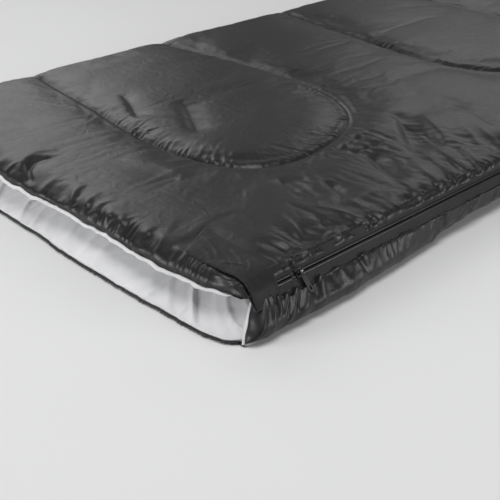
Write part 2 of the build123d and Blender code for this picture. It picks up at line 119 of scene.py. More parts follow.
def spline_matrix(nodes, q):
    """Natural cubic spline from nodes to q, as one matrix."""
    n = len(nodes)
    h = np.diff(nodes)
    A, B = np.zeros((n, n)), np.zeros((n, n))
    A[0, 0] = A[-1, -1] = 1
    for i in range(1, n - 1):
        A[i, i - 1], A[i, i], A[i, i + 1] = h[i - 1], 2 * (h[i - 1] + h[i]), h[i]
        B[i, i - 1], B[i, i], B[i, i + 1] = 6 / h[i - 1], -6 / h[i - 1] - 6 / h[i], 6 / h[i]
    S = np.linalg.solve(A, B)
    k = np.clip(np.searchsorted(nodes, q) - 1, 0, n - 2)
    t, hk = q - nodes[k], h[k]
    u = nodes[k + 1] - q
    M = np.zeros((len(q), n))
    r = np.arange(len(q))
    M[r, k] += u / hk
    M[r, k + 1] += t / hk
    M += ((u ** 3 / hk - hk * u) / 6)[:, None] * S[k] + ((t ** 3 / hk - hk * t) / 6)[:, None] * S[k + 1]
    return M


def sample_curve(points, n):
    """n points along a smooth curve through the points."""
    p = np.array(points, float)
    s = np.concatenate([[0], np.cumsum(np.linalg.norm(np.diff(p, axis=0), axis=1))])
    q = np.linspace(0, s[-1], n)
    return spline_matrix(s, q) @ p


# ------------------------------------------------------------------ mesh helpers
def new_mesh(name, verts_mm, faces, mats=(), face_mats=None, smooth=True):
    me = bpy.data.meshes.new(name)
    v = np.asarray(verts_mm, float) * MM
    me.from_pydata(v.tolist(), [], faces)
    me.update()
    ob = bpy.data.objects.new(name, me)
    bpy.context.scene.collection.objects.link(ob)
    for m in mats:
        me.materials.append(m)
    if face_mats is not None:
        me.polygons.foreach_set("material_index", np.asarray(face_mats, np.int32))
    if smooth:
        me.polygons.foreach_set("use_smooth", np.ones(len(me.polygons), bool))
    me.update()
    return ob


def quads(n1, n2, wrap=False):
    i, j = np.meshgrid(np.arange(n1 - 1), np.arange(n2 if wrap else n2 - 1), indexing="ij")
    a = i * n2 + j
    b = (i + 1) * n2 + j
    c = (i + 1) * n2 + (j + 1) % n2
    d = i * n2 + (j + 1) % n2
    return np.stack([a, b, c, d], -1).reshape(-1, 4)


def coarse_index(n, step):
    k = list(range(0, n - 1, step))
    if n - 1 - k[-1] < step / 2 and len(k) > 1:
        k.pop()
    return k + [n - 1]


def pad(name, top, I, J, bottom, mats, shell_edges_and_painted_shade=False):
    """A closed pad: a fine grid on one side, a coarse grid on the other, sharing the boundary."""
    n1, n2 = top.shape[:2]
    m1, m2 = len(I), len(J)
    verts = [top.reshape(-1, 3)]
    index = -np.ones((m1, m2), int)
    inner = np.zeros((m1, m2), bool)
    inner[1:-1, 1:-1] = True
    index[inner] = n1 * n2 + np.arange(inner.sum())
    verts.append(bottom[inner])
    for a in range(m1):
        for b in range(m2):
            if not inner[a, b]:
                index[a, b] = I[a] * n2 + J[b]
    faces = quads(n1, n2).tolist()
    nt = len(faces)
    dark = []
    for a in range(m1 - 1):
        for b in range(m2 - 1):
            i0, i1, j0, j1 = I[a], I[a + 1], J[b], J[b + 1]
            loop = [index[a, b]]
            if b == 0:
                loop += [i * n2 + j0 for i in range(i0 + 1, i1)]
            loop.append(index[a + 1, b])
            if a == m1 - 2:
                loop += [i1 * n2 + j for j in range(j0 + 1, j1)]
            loop.append(index[a + 1, b + 1])
            if b == m2 - 2:
                loop += [i * n2 + j1 for i in range(i1 - 1, i0, -1)]
            loop.append(index[a, b + 1])
            if a == 0:
                loop += [i0 * n2 + j for j in range(j1 - 1, j0, -1)]
            faces.append([int(k) for k in loop[::-1]])
            # underside faces along the outer edges take the black shell; those by the lip past x 333 take the black
            # shell too, as painted shade under the lip corner
            dark.append(shell_edges_and_painted_shade and (a == m1 - 2 or b == m2 - 2 or (b < 4 and top[i0, j0, 0] > 333)))
    fm = np.zeros(len(faces), np.int32)
    fm[nt:] = np.where(dark, 0, 1)
    return new_mesh(name, np.concatenate(verts), faces, mats, fm)


def closed_sheet(name, top, bot, mats):
    na, nb = top.shape[:2]
    faces = quads(na, nb).tolist() + (quads(na, nb)[:, ::-1] + na * nb).tolist()
    for seq in ([(i_, 0) for i_ in range(na)], [(na - 1, j_) for j_ in range(nb)], [(i_, nb - 1) for i_ in range(na - 1, -1, -1)], [(0, j_) for j_ in range(nb - 1, -1, -1)]):
        for (a1, b1), (a2, b2) in zip(seq[:-1], seq[1:]):
            p_, r_ = a1 * nb + b1, a2 * nb + b2
            faces.append([r_, p_, p_ + na * nb, r_ + na * nb])
    return new_mesh(name, np.concatenate([top.reshape(-1, 3), bot.reshape(-1, 3)]), faces, mats)


def tube(name, centres, radii, mats, n=10, squash=None, caps=True, closed=False):
    """A tube round a line of points; radii (k,) or (k, n)."""
    c = np.asarray(centres, float)
    k = len(c)
    t = np.gradient(c, axis=0)
    t /= np.linalg.norm(t, axis=1)[:, None]
    up = np.array([0.0, 0.0, 1.0])
    side = np.cross(t, up)
    bad = np.linalg.norm(side, axis=1) < 1e-3
    side[bad] = np.cross(t[bad], np.array([0.0, 1.0, 0.0]))
    side /= np.linalg.norm(side, axis=1)[:, None]
    nrm = np.cross(side, t)
    a = np.arange(n) / n * 2 * math.pi
    r = np.asarray(radii, float)
    r = np.broadcast_to(r[:, None] if r.ndim == 1 else r, (k, n))
    sq = (1.0, 1.0) if squash is None else squash
    p = c[:, None] + r[..., None] * (sq[0] * np.cos(a)[None, :, None] * side[:, None] + sq[1] * np.sin(a)[None, :, None] * nrm[:, None])
    faces = quads(k, n, wrap=True).tolist()
    if caps:
        faces += [list(range(n)), [(k - 1) * n + j for j in range(n)][::-1]]
    return new_mesh(name, p.reshape(-1, 3), faces, mats)


# ------------------------------------------------------------------ cloth
def simulate(name, pts, pin, extra=0.03, pressure=1.0, frames=18, bend=0.05, quality=5, tension=20.0):
    """Cloth on an open grid (n1, n2, 3 in mm). Returns the settled points in mm."""
    n1, n2 = pts.shape[:2]
    ob = new_mesh(name, pts.reshape(-1, 3), quads(n1, n2).tolist())
    g = ob.vertex_groups.new(name="pin")
    w = pin.reshape(-1)
    for k in np.nonzero(w > 0)[0]:
        g.add([int(k)], float(w[k]), "REPLACE")
    md = ob.modifiers.new("cloth", "CLOTH")
    s = md.settings
    s.quality = quality
    s.mass = 0.15
    s.air_damping = 2.0
    s.tension_stiffness = s.compression_stiffness = tension
    s.shear_stiffness = 3.0
    s.bending_stiffness = bend
    s.tension_damping = s.compression_damping = 5.0
    s.vertex_group_mass = "pin"
    s.pin_stiffness = 1.0
    s.shrink_min = -extra
    s.use_pressure = True
    s.uniform_pressure_force = pressure
    s.effector_weights.gravity = 0.0
    md.collision_settings.use_collision = False
    md.collision_settings.use_self_collision = False
    md.point_cache.frame_start = 1
    md.point_cache.frame_end = frames
    sc = bpy.context.scene
    for f in range(1, frames + 1):
        sc.frame_set(f)
    dg = bpy.context.evaluated_depsgraph_get()
    ev = ob.evaluated_get(dg)
    co = np.zeros(n1 * n2 * 3)
    ev.data.vertices.foreach_get("co", co)
    me = ob.data
    bpy.data.objects.remove(ob)
    bpy.data.meshes.remove(me)
    sc.frame_set(1)
    return co.reshape(n1, n2, 3) / MM


# ------------------------------------------------------------------ materials
def node(nt, kind, **kw):
    n = nt.nodes.new(kind)
    for k, v in kw.items():
        if k == "inputs":
            for a, b in v.items():
                n.inputs[a].default_value = b
        else:
            setattr(n, k, v)
    return n


def fabric(name, dark, light, rough, rough_var=0.06, sheen=0.0, sheen_rough=0.4, spec=0.5, weave=0.0, weave_scale=900.0,
           bump=0.0, bump_scale=160.0, coat=0.0, coat_rough=0.3, tint_scale=9.0, aniso=0.0, metal=0.0, crease=0.0):
    m = bpy.data.materials.new(name)
    m.use_nodes = True
    nt = m.node_tree
    b = nt.nodes["Principled BSDF"]
    tc = node(nt, "ShaderNodeTexCoord")
    big = node(nt, "ShaderNodeTexNoise", inputs={"Scale": tint_scale, "Detail": 5.0, "Roughness": 0.6})
    nt.links.new(tc.outputs["Object"], big.inputs["Vector"])
    ramp = node(nt, "ShaderNodeValToRGB")
    ramp.color_ramp.elements[0].position = 0.3
    ramp.color_ramp.elements[0].color = (*dark, 1)
    ramp.color_ramp.elements[1].position = 0.72
    ramp.color_ramp.elements[1].color = (*light, 1)
    nt.links.new(big.outputs["Fac"], ramp.inputs["Fac"])
    fine = node(nt, "ShaderNodeTexNoise", inputs={"Scale": bump_scale, "Detail": 6.0, "Roughness": 0.62})
    nt.links.new(tc.outputs["Object"], fine.inputs["Vector"])
    colour = ramp.outputs["Color"]
    # threads: two crossed sets of fine lines
    wx = node(nt, "ShaderNodeTexWave", wave_type="BANDS", bands_direction="X", inputs={"Scale": weave_scale, "Distortion": 0.6, "Detail": 1.0, "Detail Scale": 2.0})
    wy = node(nt, "ShaderNodeTexWave", wave_type="BANDS", bands_direction="Y", inputs={"Scale": weave_scale * 0.92, "Distortion": 0.6, "Detail": 1.0, "Detail Scale": 2.0})
    for w in (wx, wy):
        nt.links.new(tc.outputs["Object"], w.inputs["Vector"])
    cross = node(nt, "ShaderNodeMath", operation="MAXIMUM")
    nt.links.new(wx.outputs["Fac"], cross.inputs[0])
    nt.links.new(wy.outputs["Fac"], cross.inputs[1])
    mixc = node(nt, "ShaderNodeMix", data_type="RGBA", blend_type="MULTIPLY")
    mixc.inputs["Factor"].default_value = 0.22
    nt.links.new(colour, mixc.inputs["A"])
    nt.links.new(cross.outputs[0], mixc.inputs["B"])
    nt.links.new(mixc.outputs["Result"], b.inputs["Base Color"])
    mr = node(nt, "ShaderNodeMapRange", inputs={"From Min": 0.25, "From Max": 0.75, "To Min": rough - rough_var, "To Max": rough + rough_var})
    nt.links.new(fine.outputs["Fac"], mr.inputs["Value"])
    nt.links.new(mr.outputs["Result"], b.inputs["Roughness"])
    last = None
    if bump:
        b1 = node(nt, "ShaderNodeBump", inputs={"Strength": 1.0, "Distance": bump})
        nt.links.new(fine.outputs["Fac"], b1.inputs["Height"])
        last = b1
    if crease:
        cr = node(nt, "ShaderNodeTexNoise", inputs={"Scale": 38.0, "Detail": 4.0, "Roughness": 0.55, "Distortion": 1.6})
        nt.links.new(tc.outputs["Object"], cr.inputs["Vector"])
        b3 = node(nt, "ShaderNodeBump", inputs={"Strength": 1.0, "Distance": crease})
        nt.links.new(cr.outputs["Fac"], b3.inputs["Height"])
        if last:
            nt.links.new(last.outputs["Normal"], b3.inputs["Normal"])
        last = b3
    if weave:
        b2 = node(nt, "ShaderNodeBump", inputs={"Strength": 1.0, "Distance": weave})
        nt.links.new(cross.outputs[0], b2.inputs["Height"])
        if last:
            nt.links.new(last.outputs["Normal"], b2.inputs["Normal"])
        last = b2
    if last:
        nt.links.new(last.outputs["Normal"], b.inputs["Normal"])
    b.inputs["Specular IOR Level"].default_value = spec
    b.inputs["Sheen Weight"].default_value = sheen
    b.inputs["Sheen Roughness"].default_value = sheen_rough
    b.inputs["Coat Weight"].default_value = coat
    b.inputs["Coat Roughness"].default_value = coat_rough
    b.inputs["Metallic"].default_value = metal
    return m


M_SHELL = fabric("satin_black", (0.0065, 0.0065, 0.0072), (0.012, 0.012, 0.0132), 0.38, 0.05, sheen=0.03, sheen_rough=0.35, spec=0.46,
                 weave=0.00002, weave_scale=620.0, bump=0.00012, bump_scale=210.0, crease=0.0008, tint_scale=7.0)
M_LINING = fabric("lining_grey", (0.72, 0.72, 0.735), (0.85, 0.85, 0.86), 0.52, 0.06, sheen=0.25, sheen_rough=0.45, spec=0.45,
                  weave=0.00003, weave_scale=520.0, bump=0.00016, bump_scale=190.0, crease=0.0006, tint_scale=8.0)
M_BIND = fabric("binding_black", (0.010, 0.010, 0.011), (0.020, 0.020, 0.022), 0.6, 0.08, sheen=0.25, spec=0.4,
                weave=0.00008, weave_scale=420.0, bump=0.0003, bump_scale=320.0)
M_TAPE = fabric("zip_tape", (0.009, 0.009, 0.010), (0.018, 0.018, 0.020), 0.55, 0.08, sheen=0.2, spec=0.42,
                weave=0.00012, weave_scale=330.0, bump=0.0001, bump_scale=500.0)
M_TAB = fabric("tab_fabric", (0.0075, 0.0075, 0.0082), (0.013, 0.013, 0.0145), 0.52, 0.06, sheen=0.06, spec=0.32,
               weave=0.00006, weave_scale=420.0, bump=0.00025, bump_scale=180.0, crease=0.0008)
M_THREAD = fabric("thread_black", (0.008, 0.008, 0.009), (0.02, 0.02, 0.022), 0.45, 0.08, sheen=0.3, spec=0.5, bump=0.0001, bump_scale=900.0)
M_THREAD_G = fabric("thread_grey", (0.55, 0.55, 0.56), (0.68, 0.68, 0.69), 0.5, 0.08, sheen=0.3, spec=0.5, bump=0.0001, bump_scale=900.0)
M_COIL = fabric("coil_nylon", (0.010, 0.010, 0.011), (0.02, 0.02, 0.022), 0.32, 0.06, spec=0.55, bump=0.00008, bump_scale=700.0)
M_HOOK = fabric("hook_nylon", (0.010, 0.010, 0.011), (0.035, 0.035, 0.037), 0.5, 0.1, spec=0.5, weave=0.0006, weave_scale=230.0, bump=0.0006, bump_scale=700.0)
M_LOOP = fabric("loop_pile", (0.008, 0.008, 0.009), (0.03, 0.03, 0.032), 0.85, 0.08, sheen=0.7, spec=0.3, bump=0.0009, bump_scale=520.0)
M_METAL = fabric("slider_metal", (0.16, 0.16, 0.165), (0.30, 0.30, 0.31), 0.24, 0.07, spec=0.6, metal=1.0, coat=0.3, coat_rough=0.12,
                 bump=0.00006, bump_scale=420.0, tint_scale=90.0)


# ------------------------------------------------------------------ quilting pattern
LOOP = sample_curve(QUILT_LOOP, 150)
LOOP_RUN = np.concatenate([[0], np.cumsum(np.linalg.norm(np.diff(LOOP, axis=0), axis=1))])


def cover_seam(x, y):
    """Signed distance to the nearest quilting line of the cover (negative inside a loop), and the place along it."""
    x, y = np.asarray(x, float), np.asarray(y, float)
    best = np.full(x.shape, 400.0)
    sd = np.full(x.shape, 400.0)
    t = np.zeros(x.shape)
    for k in range(3):
        yk = y - k * QUILT_STEP
        m = (yk > -850) & (yk < -180)
        px, py = x[m], yk[m]
        d2 = np.full(px.shape, 1e9)
        tt = np.zeros(px.shape)
        odd = np.zeros(px.shape, bool)
        pts = [(-430.0, LOOP[0, 1])] + [tuple(p) for p in LOOP] + [(-430.0, LOOP[-1, 1])]
        for j in range(len(pts)):
            ax, ay = pts[j]
            bx_, by_ = pts[(j + 1) % len(pts)]
            cross = ((ay > py) != (by_ > py))
            if ay != by_:
                odd ^= cross & (px < (bx_ - ax) * (py - ay) / (by_ - ay) + ax)
            if j < len(pts) - 1:
                ex, ey = bx_ - ax, by_ - ay
                u = np.clip(((px - ax) * ex + (py - ay) * ey) / (ex * ex + ey * ey), 0, 1)
                q2 = (px - ax - u * ex) ** 2 + (py - ay - u * ey) ** 2
                use = q2 < d2
                d2 = np.where(use, q2, d2)
                r0 = LOOP_RUN[j - 1] if 1 <= j <= len(LOOP) - 1 else (0.0 if j == 0 else LOOP_RUN[-1])
                tt = np.where(use, r0 + u * math.hypot(ex, ey) * (1 if 1 <= j else 0), tt)
        d = np.sqrt(d2)
        cur = best[m]
        use = d < cur
        best[m] = np.where(use, d, cur)
        sd[m] = np.where(use, np.where(odd, -d, d), sd[m])
        t[m] = np.where(use, tt + 1700 * k, t[m])
    return sd, t


def base_seam(x, y):
    """The same for the base: the middle lines turn in pairs, the outer two run out to the side."""
    best = np.full(np.shape(x), 1e9)
    t = np.zeros(np.shape(x))
    for k, (a, b) in enumerate(((1, 2), (3, 4))):
        ym = (STITCH_Y[a] + STITCH_Y[b]) / 2
        flat = x <= TURN_X
        s = np.abs(np.where(flat, np.abs(y - ym), np.hypot(x - TURN_X, y - ym)) - TURN_R)
        th = np.arctan2(y - ym, np.maximum(x - TURN_X, 1e-6))
        tt = np.where(flat, np.where(y < ym, x, 2 * TURN_X + math.pi * TURN_R - x), TURN_X + TURN_R * (th + math.pi / 2))
        t = np.where(s < best, tt + 1500 * k, t)
        best = np.minimum(best, s)
    for k in (0, 5):
        s = np.abs(y - STITCH_Y[k])
        t = np.where(s < best, x + 700 * k, t)
        best = np.minimum(best, s)
    return best, t


def puckers(t, d, seed, lam=7.5, reach=7.0, amp=0.5, long_lam=19.0, long_reach=26.0, long_amp=1.3, lean=0.45):
    """Small folds square to a seam. t runs along the seam, d is the distance from it."""
    tl = t + lean * d
    ph = 2 * math.pi * (tl / lam + 0.9 * vnoise(t / 23.0, d * 0 + 0.5, seed))
    short = np.sin(ph) * np.exp(-d / (reach * (0.5 + 0.9 * np.abs(vnoise(t / 14.0, d * 0, seed + 1)))))
    a = np.clip(vnoise(t / 60.0, d * 0 + 3.5, seed + 2) * 0.7 + 0.6, 0, 1.3)
    tw = tl + 5 * vnoise(t / 50.0, d / 30.0, seed + 3)
    keep = np.clip(vnoise(tw / (0.9 * long_lam), d * 0 + 8.5, seed + 4) + 0.25, 0, 1)
    lg = (1 - np.abs(2 * ((tw / long_lam + 0.35 * vnoise(t / 37.0, d * 0, seed + 5)) % 1) - 1)) ** 2 - 0.33
    ln = long_reach * (0.35 + 1.1 * np.abs(vnoise(tw / long_lam, d * 0 + 1.5, seed + 6)))
    rise = 1 - np.exp(-d / 2.0)
    return amp * a * short * rise + long_amp * a * keep * lg * np.exp(-(d / ln) ** 1.5) * rise


def gathers(t, d, seed, lam, amp, reach, lean=0.35, sharp=1.6, power=1.3):
    """Folds pulled together by a seam: crests along lines that leave the seam, long and short ones mixed."""
    ln = lean * vnoise(t / (7 * lam), d * 0 + 2.5, seed)
    tt = t + ln * d + 0.25 * lam * vnoise(t / (1.7 * lam), d / (2.2 * lam), seed + 1)
    v = np.clip(1 - np.abs(vnoise(tt / lam, d / (9 * lam), seed + 2)) * sharp, 0, 1) ** 1.7
    L = reach * (0.35 + 1.25 * np.abs(vnoise(tt / (1.3 * lam), d * 0 + 5.5, seed + 3)))
    a = 0.55 + 0.6 * vnoise(t / (4.5 * lam), d * 0 + 7.5, seed + 4)
    return amp * np.clip(a, 0.1, 1.3) * (v - 0.3) * np.exp(-(d / L) ** power)


def fold_line(x, y, pts, width, height, seed=0, taper=0.25):
    """One crease or ridge along a line of points."""
    c = sample_curve(pts, 40)
    best = np.full(np.shape(x), 1e9)
    along = np.zeros(np.shape(x))
    side = np.zeros(np.shape(x))
    for k in range(len(c) - 1):
        a, b = c[k], c[k + 1]
        ab = b - a
        L2 = float(ab @ ab)
        u = np.clip(((x - a[0]) * ab[0] + (y - a[1]) * ab[1]) / L2, 0, 1)
        dx, dy = x - (a[0] + u * ab[0]), y - (a[1] + u * ab[1])
        dd = np.hypot(dx, dy)
        use = dd < best
        best = np.where(use, dd, best)
        along = np.where(use, (k + u) / (len(c) - 1), along)
        side = np.where(use, np.sign(dx * ab[1] - dy * ab[0]), side)
    w = width * (1 + 0.3 * vnoise(along * 6, along * 0, seed))
    end = sstep(0, taper, along) * sstep(0, taper, 1 - along)
    steep = np.where(side > 0, 0.55, 1.35)       # one flank is steeper than the other
    return height * end * np.exp(-(best / (w * steep)) ** 1.6)


# ------------------------------------------------------------------ lip of the cover: where the mouth shows
def lip_y(x):
    w = 2.4 * vnoise(x / 58.0, x * 0, 1) + 1.5 * vnoise(x / 17.0, x * 0, 2)
    w = w + 3.5 * np.exp(-((x + 215) / 26) ** 2) - 2.0 * np.exp(-((x + 160) / 30) ** 2)
    w = w + np.interp(x, [-400, -75, -40, 10, 40, 110, 165, 215, 262, 292, 322, 345], [0, -1, -5, -6, -3, -2, -7, -9, -8, -4.5, -4, 0])
    u = np.clip((x - 346) / 18.0, 0, 1)
    return LIP - 2.0 * sstep(150, 340, x) + w * (1 - sstep(330, 352, x)) + 22.0 * (1 - np.sqrt(1 - 0.98 * u ** 2))


def lip_z(x):
    return 43.2 + 2.4 * vnoise(x / 50.0, x * 0, 3) + 1.5 * vnoise(x / 14.0, x * 0, 4) + 5.0 * np.exp(-((x + 215) / 30) ** 2) + 4.5 * sstep(345, 364, x)


def head_bow(x):
    """How far the base's head edge bows out past a straight line, and its rounded corner."""
    return np.interp(x, [-400, -150, -60, 5, 36, 62, 160, 200, 290, 330, 346, 361, 371, 378, 384], [0, 0, -3, -6, -11, -13, -16, -18, -18, -17, -15, -11, -4, 4, 12])


def gauss(nodes, sigma):
    """Weighted smoothing matrix over uneven nodes."""
    w = np.gradient(nodes)
    K = np.exp(-0.5 * ((nodes[:, None] - nodes[None]) / sigma) ** 2) * w[None]
    return K / K.sum(1, keepdims=True)


# ------------------------------------------------------------------ cover quilt
TH_MAX = math.pi / 2 - 0.4 / FR


def cover_surface(U, V):
    """The cover's top before any wrinkles. U across (arc length round the fold), V along."""
    X, Y = np.meshgrid(U, V, indexing="ij")
    th = np.clip((FCX - X) / FR, 0, TH_MAX)
    x = np.where(X < FCX, FCX - FR * np.sin(th), X)
    y = Y.copy()
    R, cy = SEAM_R, SEAM_FOOT - SEAM_R
    cx = SEAM_X - R
    m = (X > cx) & (Y > cy)
    a, b = np.clip((X - cx) / R, 0, 1), np.clip((Y - cy) / R, 0, 1)
    x = np.where(m, cx + R * a * np.sqrt(1 - b * b / 2), x)
    y = np.where(m, cy + R * b * np.sqrt(1 - a * a / 2), y)
    d_zip = np.where((x > cx) & (y > cy), R - np.hypot(x - cx, y - cy), np.minimum(SEAM_X - x, SEAM_FOOT - y))
    d_zip = np.maximum(d_zip, 0)
    d_lip = Y - LIP
    sd, ts = cover_seam(x, Y)
    d_st = np.abs(sd)
    ell = lambda d, w: 1 - np.sqrt(np.clip(1 - np.clip(1 - d / w, 0, 1) ** 2, 0, 1))
    rim = (62 - SEAM_Z) * ell(d_zip, 24.0)
    lip = (62 - lip_z(x)) * ell(d_lip, 46.0 - 22.0 * sstep(150, 260, x))
    st = np.where(sd < 0, 4.5 * np.exp(-d_st / 4.5) + 6.5 * np.exp(-d_st / 26.0), 3.5 * np.exp(-d_st / 3.5) + 7.5 * np.exp(-d_st / 34.0))
    st = st * sstep(-398, -350, X) * sstep(0, 60, d_zip)
    drop = (rim ** 2.2 + lip ** 2.2 + st ** 2.2) ** (1 / 2.2)
    y = y + (lip_y(x) - LIP) * np.exp(-d_lip / 30.0) * (1 - np.clip(d_lip / 140, 0, 1))
    z = np.where(X < FCX, 31 + (FR - np.minimum(drop, 19)) * np.cos(th), 62 - drop)
    return np.stack([x, y, z], -1), X, Y, d_zip, d_lip, sd, ts


def normals(P):
    a, b = np.gradient(P, axis=0), np.gradient(P, axis=1)
    n = np.cross(a, b)
    return n / np.maximum(np.linalg.norm(n, axis=-1, keepdims=True), 1e-9)


hx = lambda u: 3.0 if u < -345 else (6.0 if u < -160 else 2.0)
hy = lambda v: 2.0 if v < -380 else (3.5 if v < -250 else 6.0)
U = graded(FCX - ARC, SEAM_X, hx)
V = graded(LIP, SEAM_FOOT, hy)
P0, XX, YY, DZ, DL, SD, TS = cover_surface(U, V)
N0 = normals(P0)
H = np.zeros(XX.shape)

cu = graded(FCX - ARC, SEAM_X, lambda u: 12.0 if u < -160 else 6.0)
cv = np.concatenate([graded(a, b, lambda v: 6.0 if v < -380 else 11.0)[:-1] for a, b in zip([LIP] + STITCH_Y, STITCH_Y + [SEAM_FOOT])] + [[SEAM_FOOT]])
C0, CX, CY, cdz, cdl, csd, cts = cover_surface(cu, cv)
pin = np.zeros(CX.shape)
pin[0] = pin[-1] = 1
pin[:, 0] = pin[:, -1] = 1
pin = np.maximum(pin, np.where((np.abs(csd) < 4.4) & (CX > FCX), 1.0, 0.0))
S = simulate("cloth_cover", C0, pin, extra=0.035, pressure=0.9, frames=18, bend=0.02)
D = ((S - C0) * normals(C0)).sum(-1)
lo = gauss(cu, 46.0) @ D @ gauss(cv, 46.0).T
fine = np.clip(D - lo, -9, 9)
share = sstep(1.0, 16.0, np.abs(csd)) * (0.20 + 0.06 * sstep(60, 260, CX) + 0.06 * sstep(-640, -480, CY) * sstep(-200, 60, CX))
H = H + spline_matrix(cu, U) @ (share * fine) @ spline_matrix(cv, V).T

x, y = P0[..., 0], P0[..., 1]
dS = np.abs(SD)
near = sstep(0, 26, DZ) * sstep(0, 26, DL)
# broad soft undulation of the filling
H += 5.6 * fbm(x / 96, y / 112, 1, 1) * near * sstep(0, 40, dS) * (0.28 + 0.72 * sstep(0, 220, x))
H += 1.7 * fbm((x + 0.6 * y) / 44, (y - 0.6 * x) / 120, 2, 1) * near * sstep(0, 30, dS) * (0.15 + 0.85 * sstep(-20, 220, x))
# puckers along the quilting, fuller inside the loop
fade_fold = sstep(-392, -352, XX)
inside = np.where(SD < 0, 1.0, 0.22)
far = sstep(0, 40, DZ)
H += inside * fade_fold * far * puckers(TS, dS, 1, lam=5.4, reach=8.0, amp=1.15, long_lam=11.0, long_reach=27.0, long_amp=4.2)
H += inside * fade_fold * far * gathers(TS, dS, 3, 14.0, 2.3, 36.0, lean=0.9)
# gathers along the zip
tz = np.where((y > 810) & (x > 298), 810 + 66 * np.arctan2(y - 810, np.maximum(x - 298, 1e-6)), np.where(SEAM_FOOT - y < SEAM_X - x, 914 + (298 - x), y))
H += 1.15 * gathers(tz, DZ, 5, 12.0, 4.6, 26.0) + gathers(tz, DZ, 1, 25.0, 7.5, 88.0, lean=0.8) + gathers(tz, DZ, 2, 5.5, 1.7, 9.0)
# gathers along the lip
H += gathers(x, DL, 4, 12.0, 3.0, 20.0) + gathers(x, DL, 6, 34.0, 3.4, 60.0, lean=0.6) + gathers(x, DL, 7, 5.0, 1.3, 9.0)
H += sstep(130, 200, x) * gathers(x, DL, 1, 8.5, 4.2, 20.0, lean=0.2)
# single folds and hollows
for pts_, wd, ht in (
    (((289, -884), (248, -842), (231, -803), (246, -762), (275, -742)), 6.5, 4.2),
    (((309, -674), (313, -646), (305, -596)), 15, 5.5),
    (((217, -508), (275, -546), (326, -575)), 17, -7.5),
    (((191, -539), (178, -495), (172, -453)), 7, 3.0),
    (((208, -542), (211, -504), (216, -468)), 6, -3.6),
    (((141, -360), (218, -423), (287, -487)), 17, -6.0),
    (((178, -347), (236, -382), (300, -434)), 15, 5.0),
    (((188, -287), (240, -296), (301, -327)), 15, -6.0),
    (((-24, -884), (-66, -862), (-79, -833), (-61, -806)), 8, 5.0),
    (((-7, -884), (-46, -866), (-55, -841), (-37, -818)), 6, -4.5),
    (((78, -885), (62, -872), (52, -846)), 5.5, 4.0),
    (((104, -885), (92, -872), (88, -848)), 5.5, 4.4),
    (((125, -885), (114, -874), (118, -850)), 5.0, 3.6),
    (((148, -885), (136, -872), (137, -855)), 6.0, 4.5),
    (((176, -885), (157, -874), (124, -842)), 6.5, 5.0),
    (((212, -885), (205, -872), (204, -846)), 6.0, 4.0),
    (((238, -885), (228, -870), (204, -834)), 6.0, 4.6),
    (((-110, -551), (-42, -595), (31, -640)), 22, -6.0),
    (((-196, -599), (-135, -628), (-80, -657)), 12, -4.0),
    (((187, -654), (243, -676), (290, -684)), 16, -5.5),
    (((245, -631), (277, -641), (314, -669)), 10, -4.0),
    (((341, -787), (307, -787), (280, -796)), 4.5, 3.0),
    (((336, -764), (300, -748), (262, -742)), 7.0, 3.6),
    (((344, -724), (310, -712), (262, -716)), 6.0, -3.4),
    (((10, -768), (60, -752), (130, -742)), 20, 4.5),
    (((-250, -800), (-180, -770), (-120, -765)), 24, 4.0),
):
    H += fold_line(x, y, pts_, wd, ht, seed=int(abs(ht * 3)) % 7)
H *= np.where(XX < FCX, np.cos(np.clip((FCX - XX) / FR, 0, math.pi / 2)) ** 0.7, 1.0)
# flat and pulled where the closure tab lies
tabw = sstep(238, 262, x) * (1 - sstep(-832, -812, y)) * sstep(-884, -870, y)
H = H * (1 - 0.72 * tabw)
pinned = np.minimum(np.clip(DZ / 4, 0, 1), np.clip(DL / 4, 0, 1)) * (1 - np.exp(-(dS / 2.5) ** 2) * fade_fold * (DZ > 40))
H *= 0.15 + 0.85 * pinned
P = P0 + N0 * H[..., None]
cap = 60.0
z = P[..., 2]
P[..., 2] = np.where(z > cap, cap + 3.2 * np.tanh((z - cap) / 4.2), z)
P[..., 2] = P[..., 2] - 1.6 * tabw * sstep(0, 12, DZ)
xe = SEAM_X - DZ
scal = 0.5 + 0.5 * np.sin(2 * math.pi * (tz / 9.5 + 1.3 * vnoise(tz / 26.0, tz * 0, 3)))
scal = scal ** 1.4 * np.clip(0.6 + 0.7 * vnoise(tz / 31.0, tz * 0, 6), 0.1, 1.3)
on_tape = np.where(xe > 356.0, 46.0 + (368.0 - xe), 58.0 - 0.9 * (356.0 - xe)) + 2.6 * scal * np.clip(DZ / 2.5, 0, 1) * np.exp(-DZ / 12)
P[..., 2] = np.where(DZ < 22, np.maximum(P[..., 2], np.minimum(on_tape, 60.5)), P[..., 2])
cover_top = P


def every(n, nodes, fine_below, step, fine_above=1e9, step_above=2):
    keep = [0]
    for k in range(1, n - 1):
        if nodes[k] < fine_below or k - keep[-1] >= (step_above if nodes[k] > fine_above else step):
            keep.append(k)
    return keep + [n - 1]


I = every(len(U), U, -350, 6, 334)
J = every(len(V), V, LIP + 12, 6)
CU, CV = U[I], V[J]
X, Y = np.meshgrid(CU, CV, indexing="ij")
B = cover_top[np.ix_(I, J)].copy()
th = np.clip((FCX - X) / 28.0, 0, math.pi / 2)
_, bt = base_seam(B[..., 0], Y)
bd = np.abs(cover_seam(B[..., 0], Y)[0])
under = 37.6 + 5.0 * np.exp(-bd / 22) + 1.2 * fbm(B[..., 0] / 60, Y / 60, 5, 2)
B[..., 2] = np.where(X < FCX, 31.45 + 6 * np.cos(th), under)
B[..., 0] = np.where(X < FCX, FCX - 6 * np.sin(th) - np.clip((FCX - X - 43) / 6, 0, 1) * 20, B[..., 0])
B[..., 1] = B[..., 1] + (3.0 + 9.0 * sstep(322, 345, X)) * np.exp(-(Y - LIP) / 12)
# black underside at the lip corner is painted shade; the black along the outer edges is the shell itself
cover_quilt = pad("cover_quilt", cover_top, I, J, B, (M_SHELL, M_LINING), shell_edges_and_painted_shade=True)
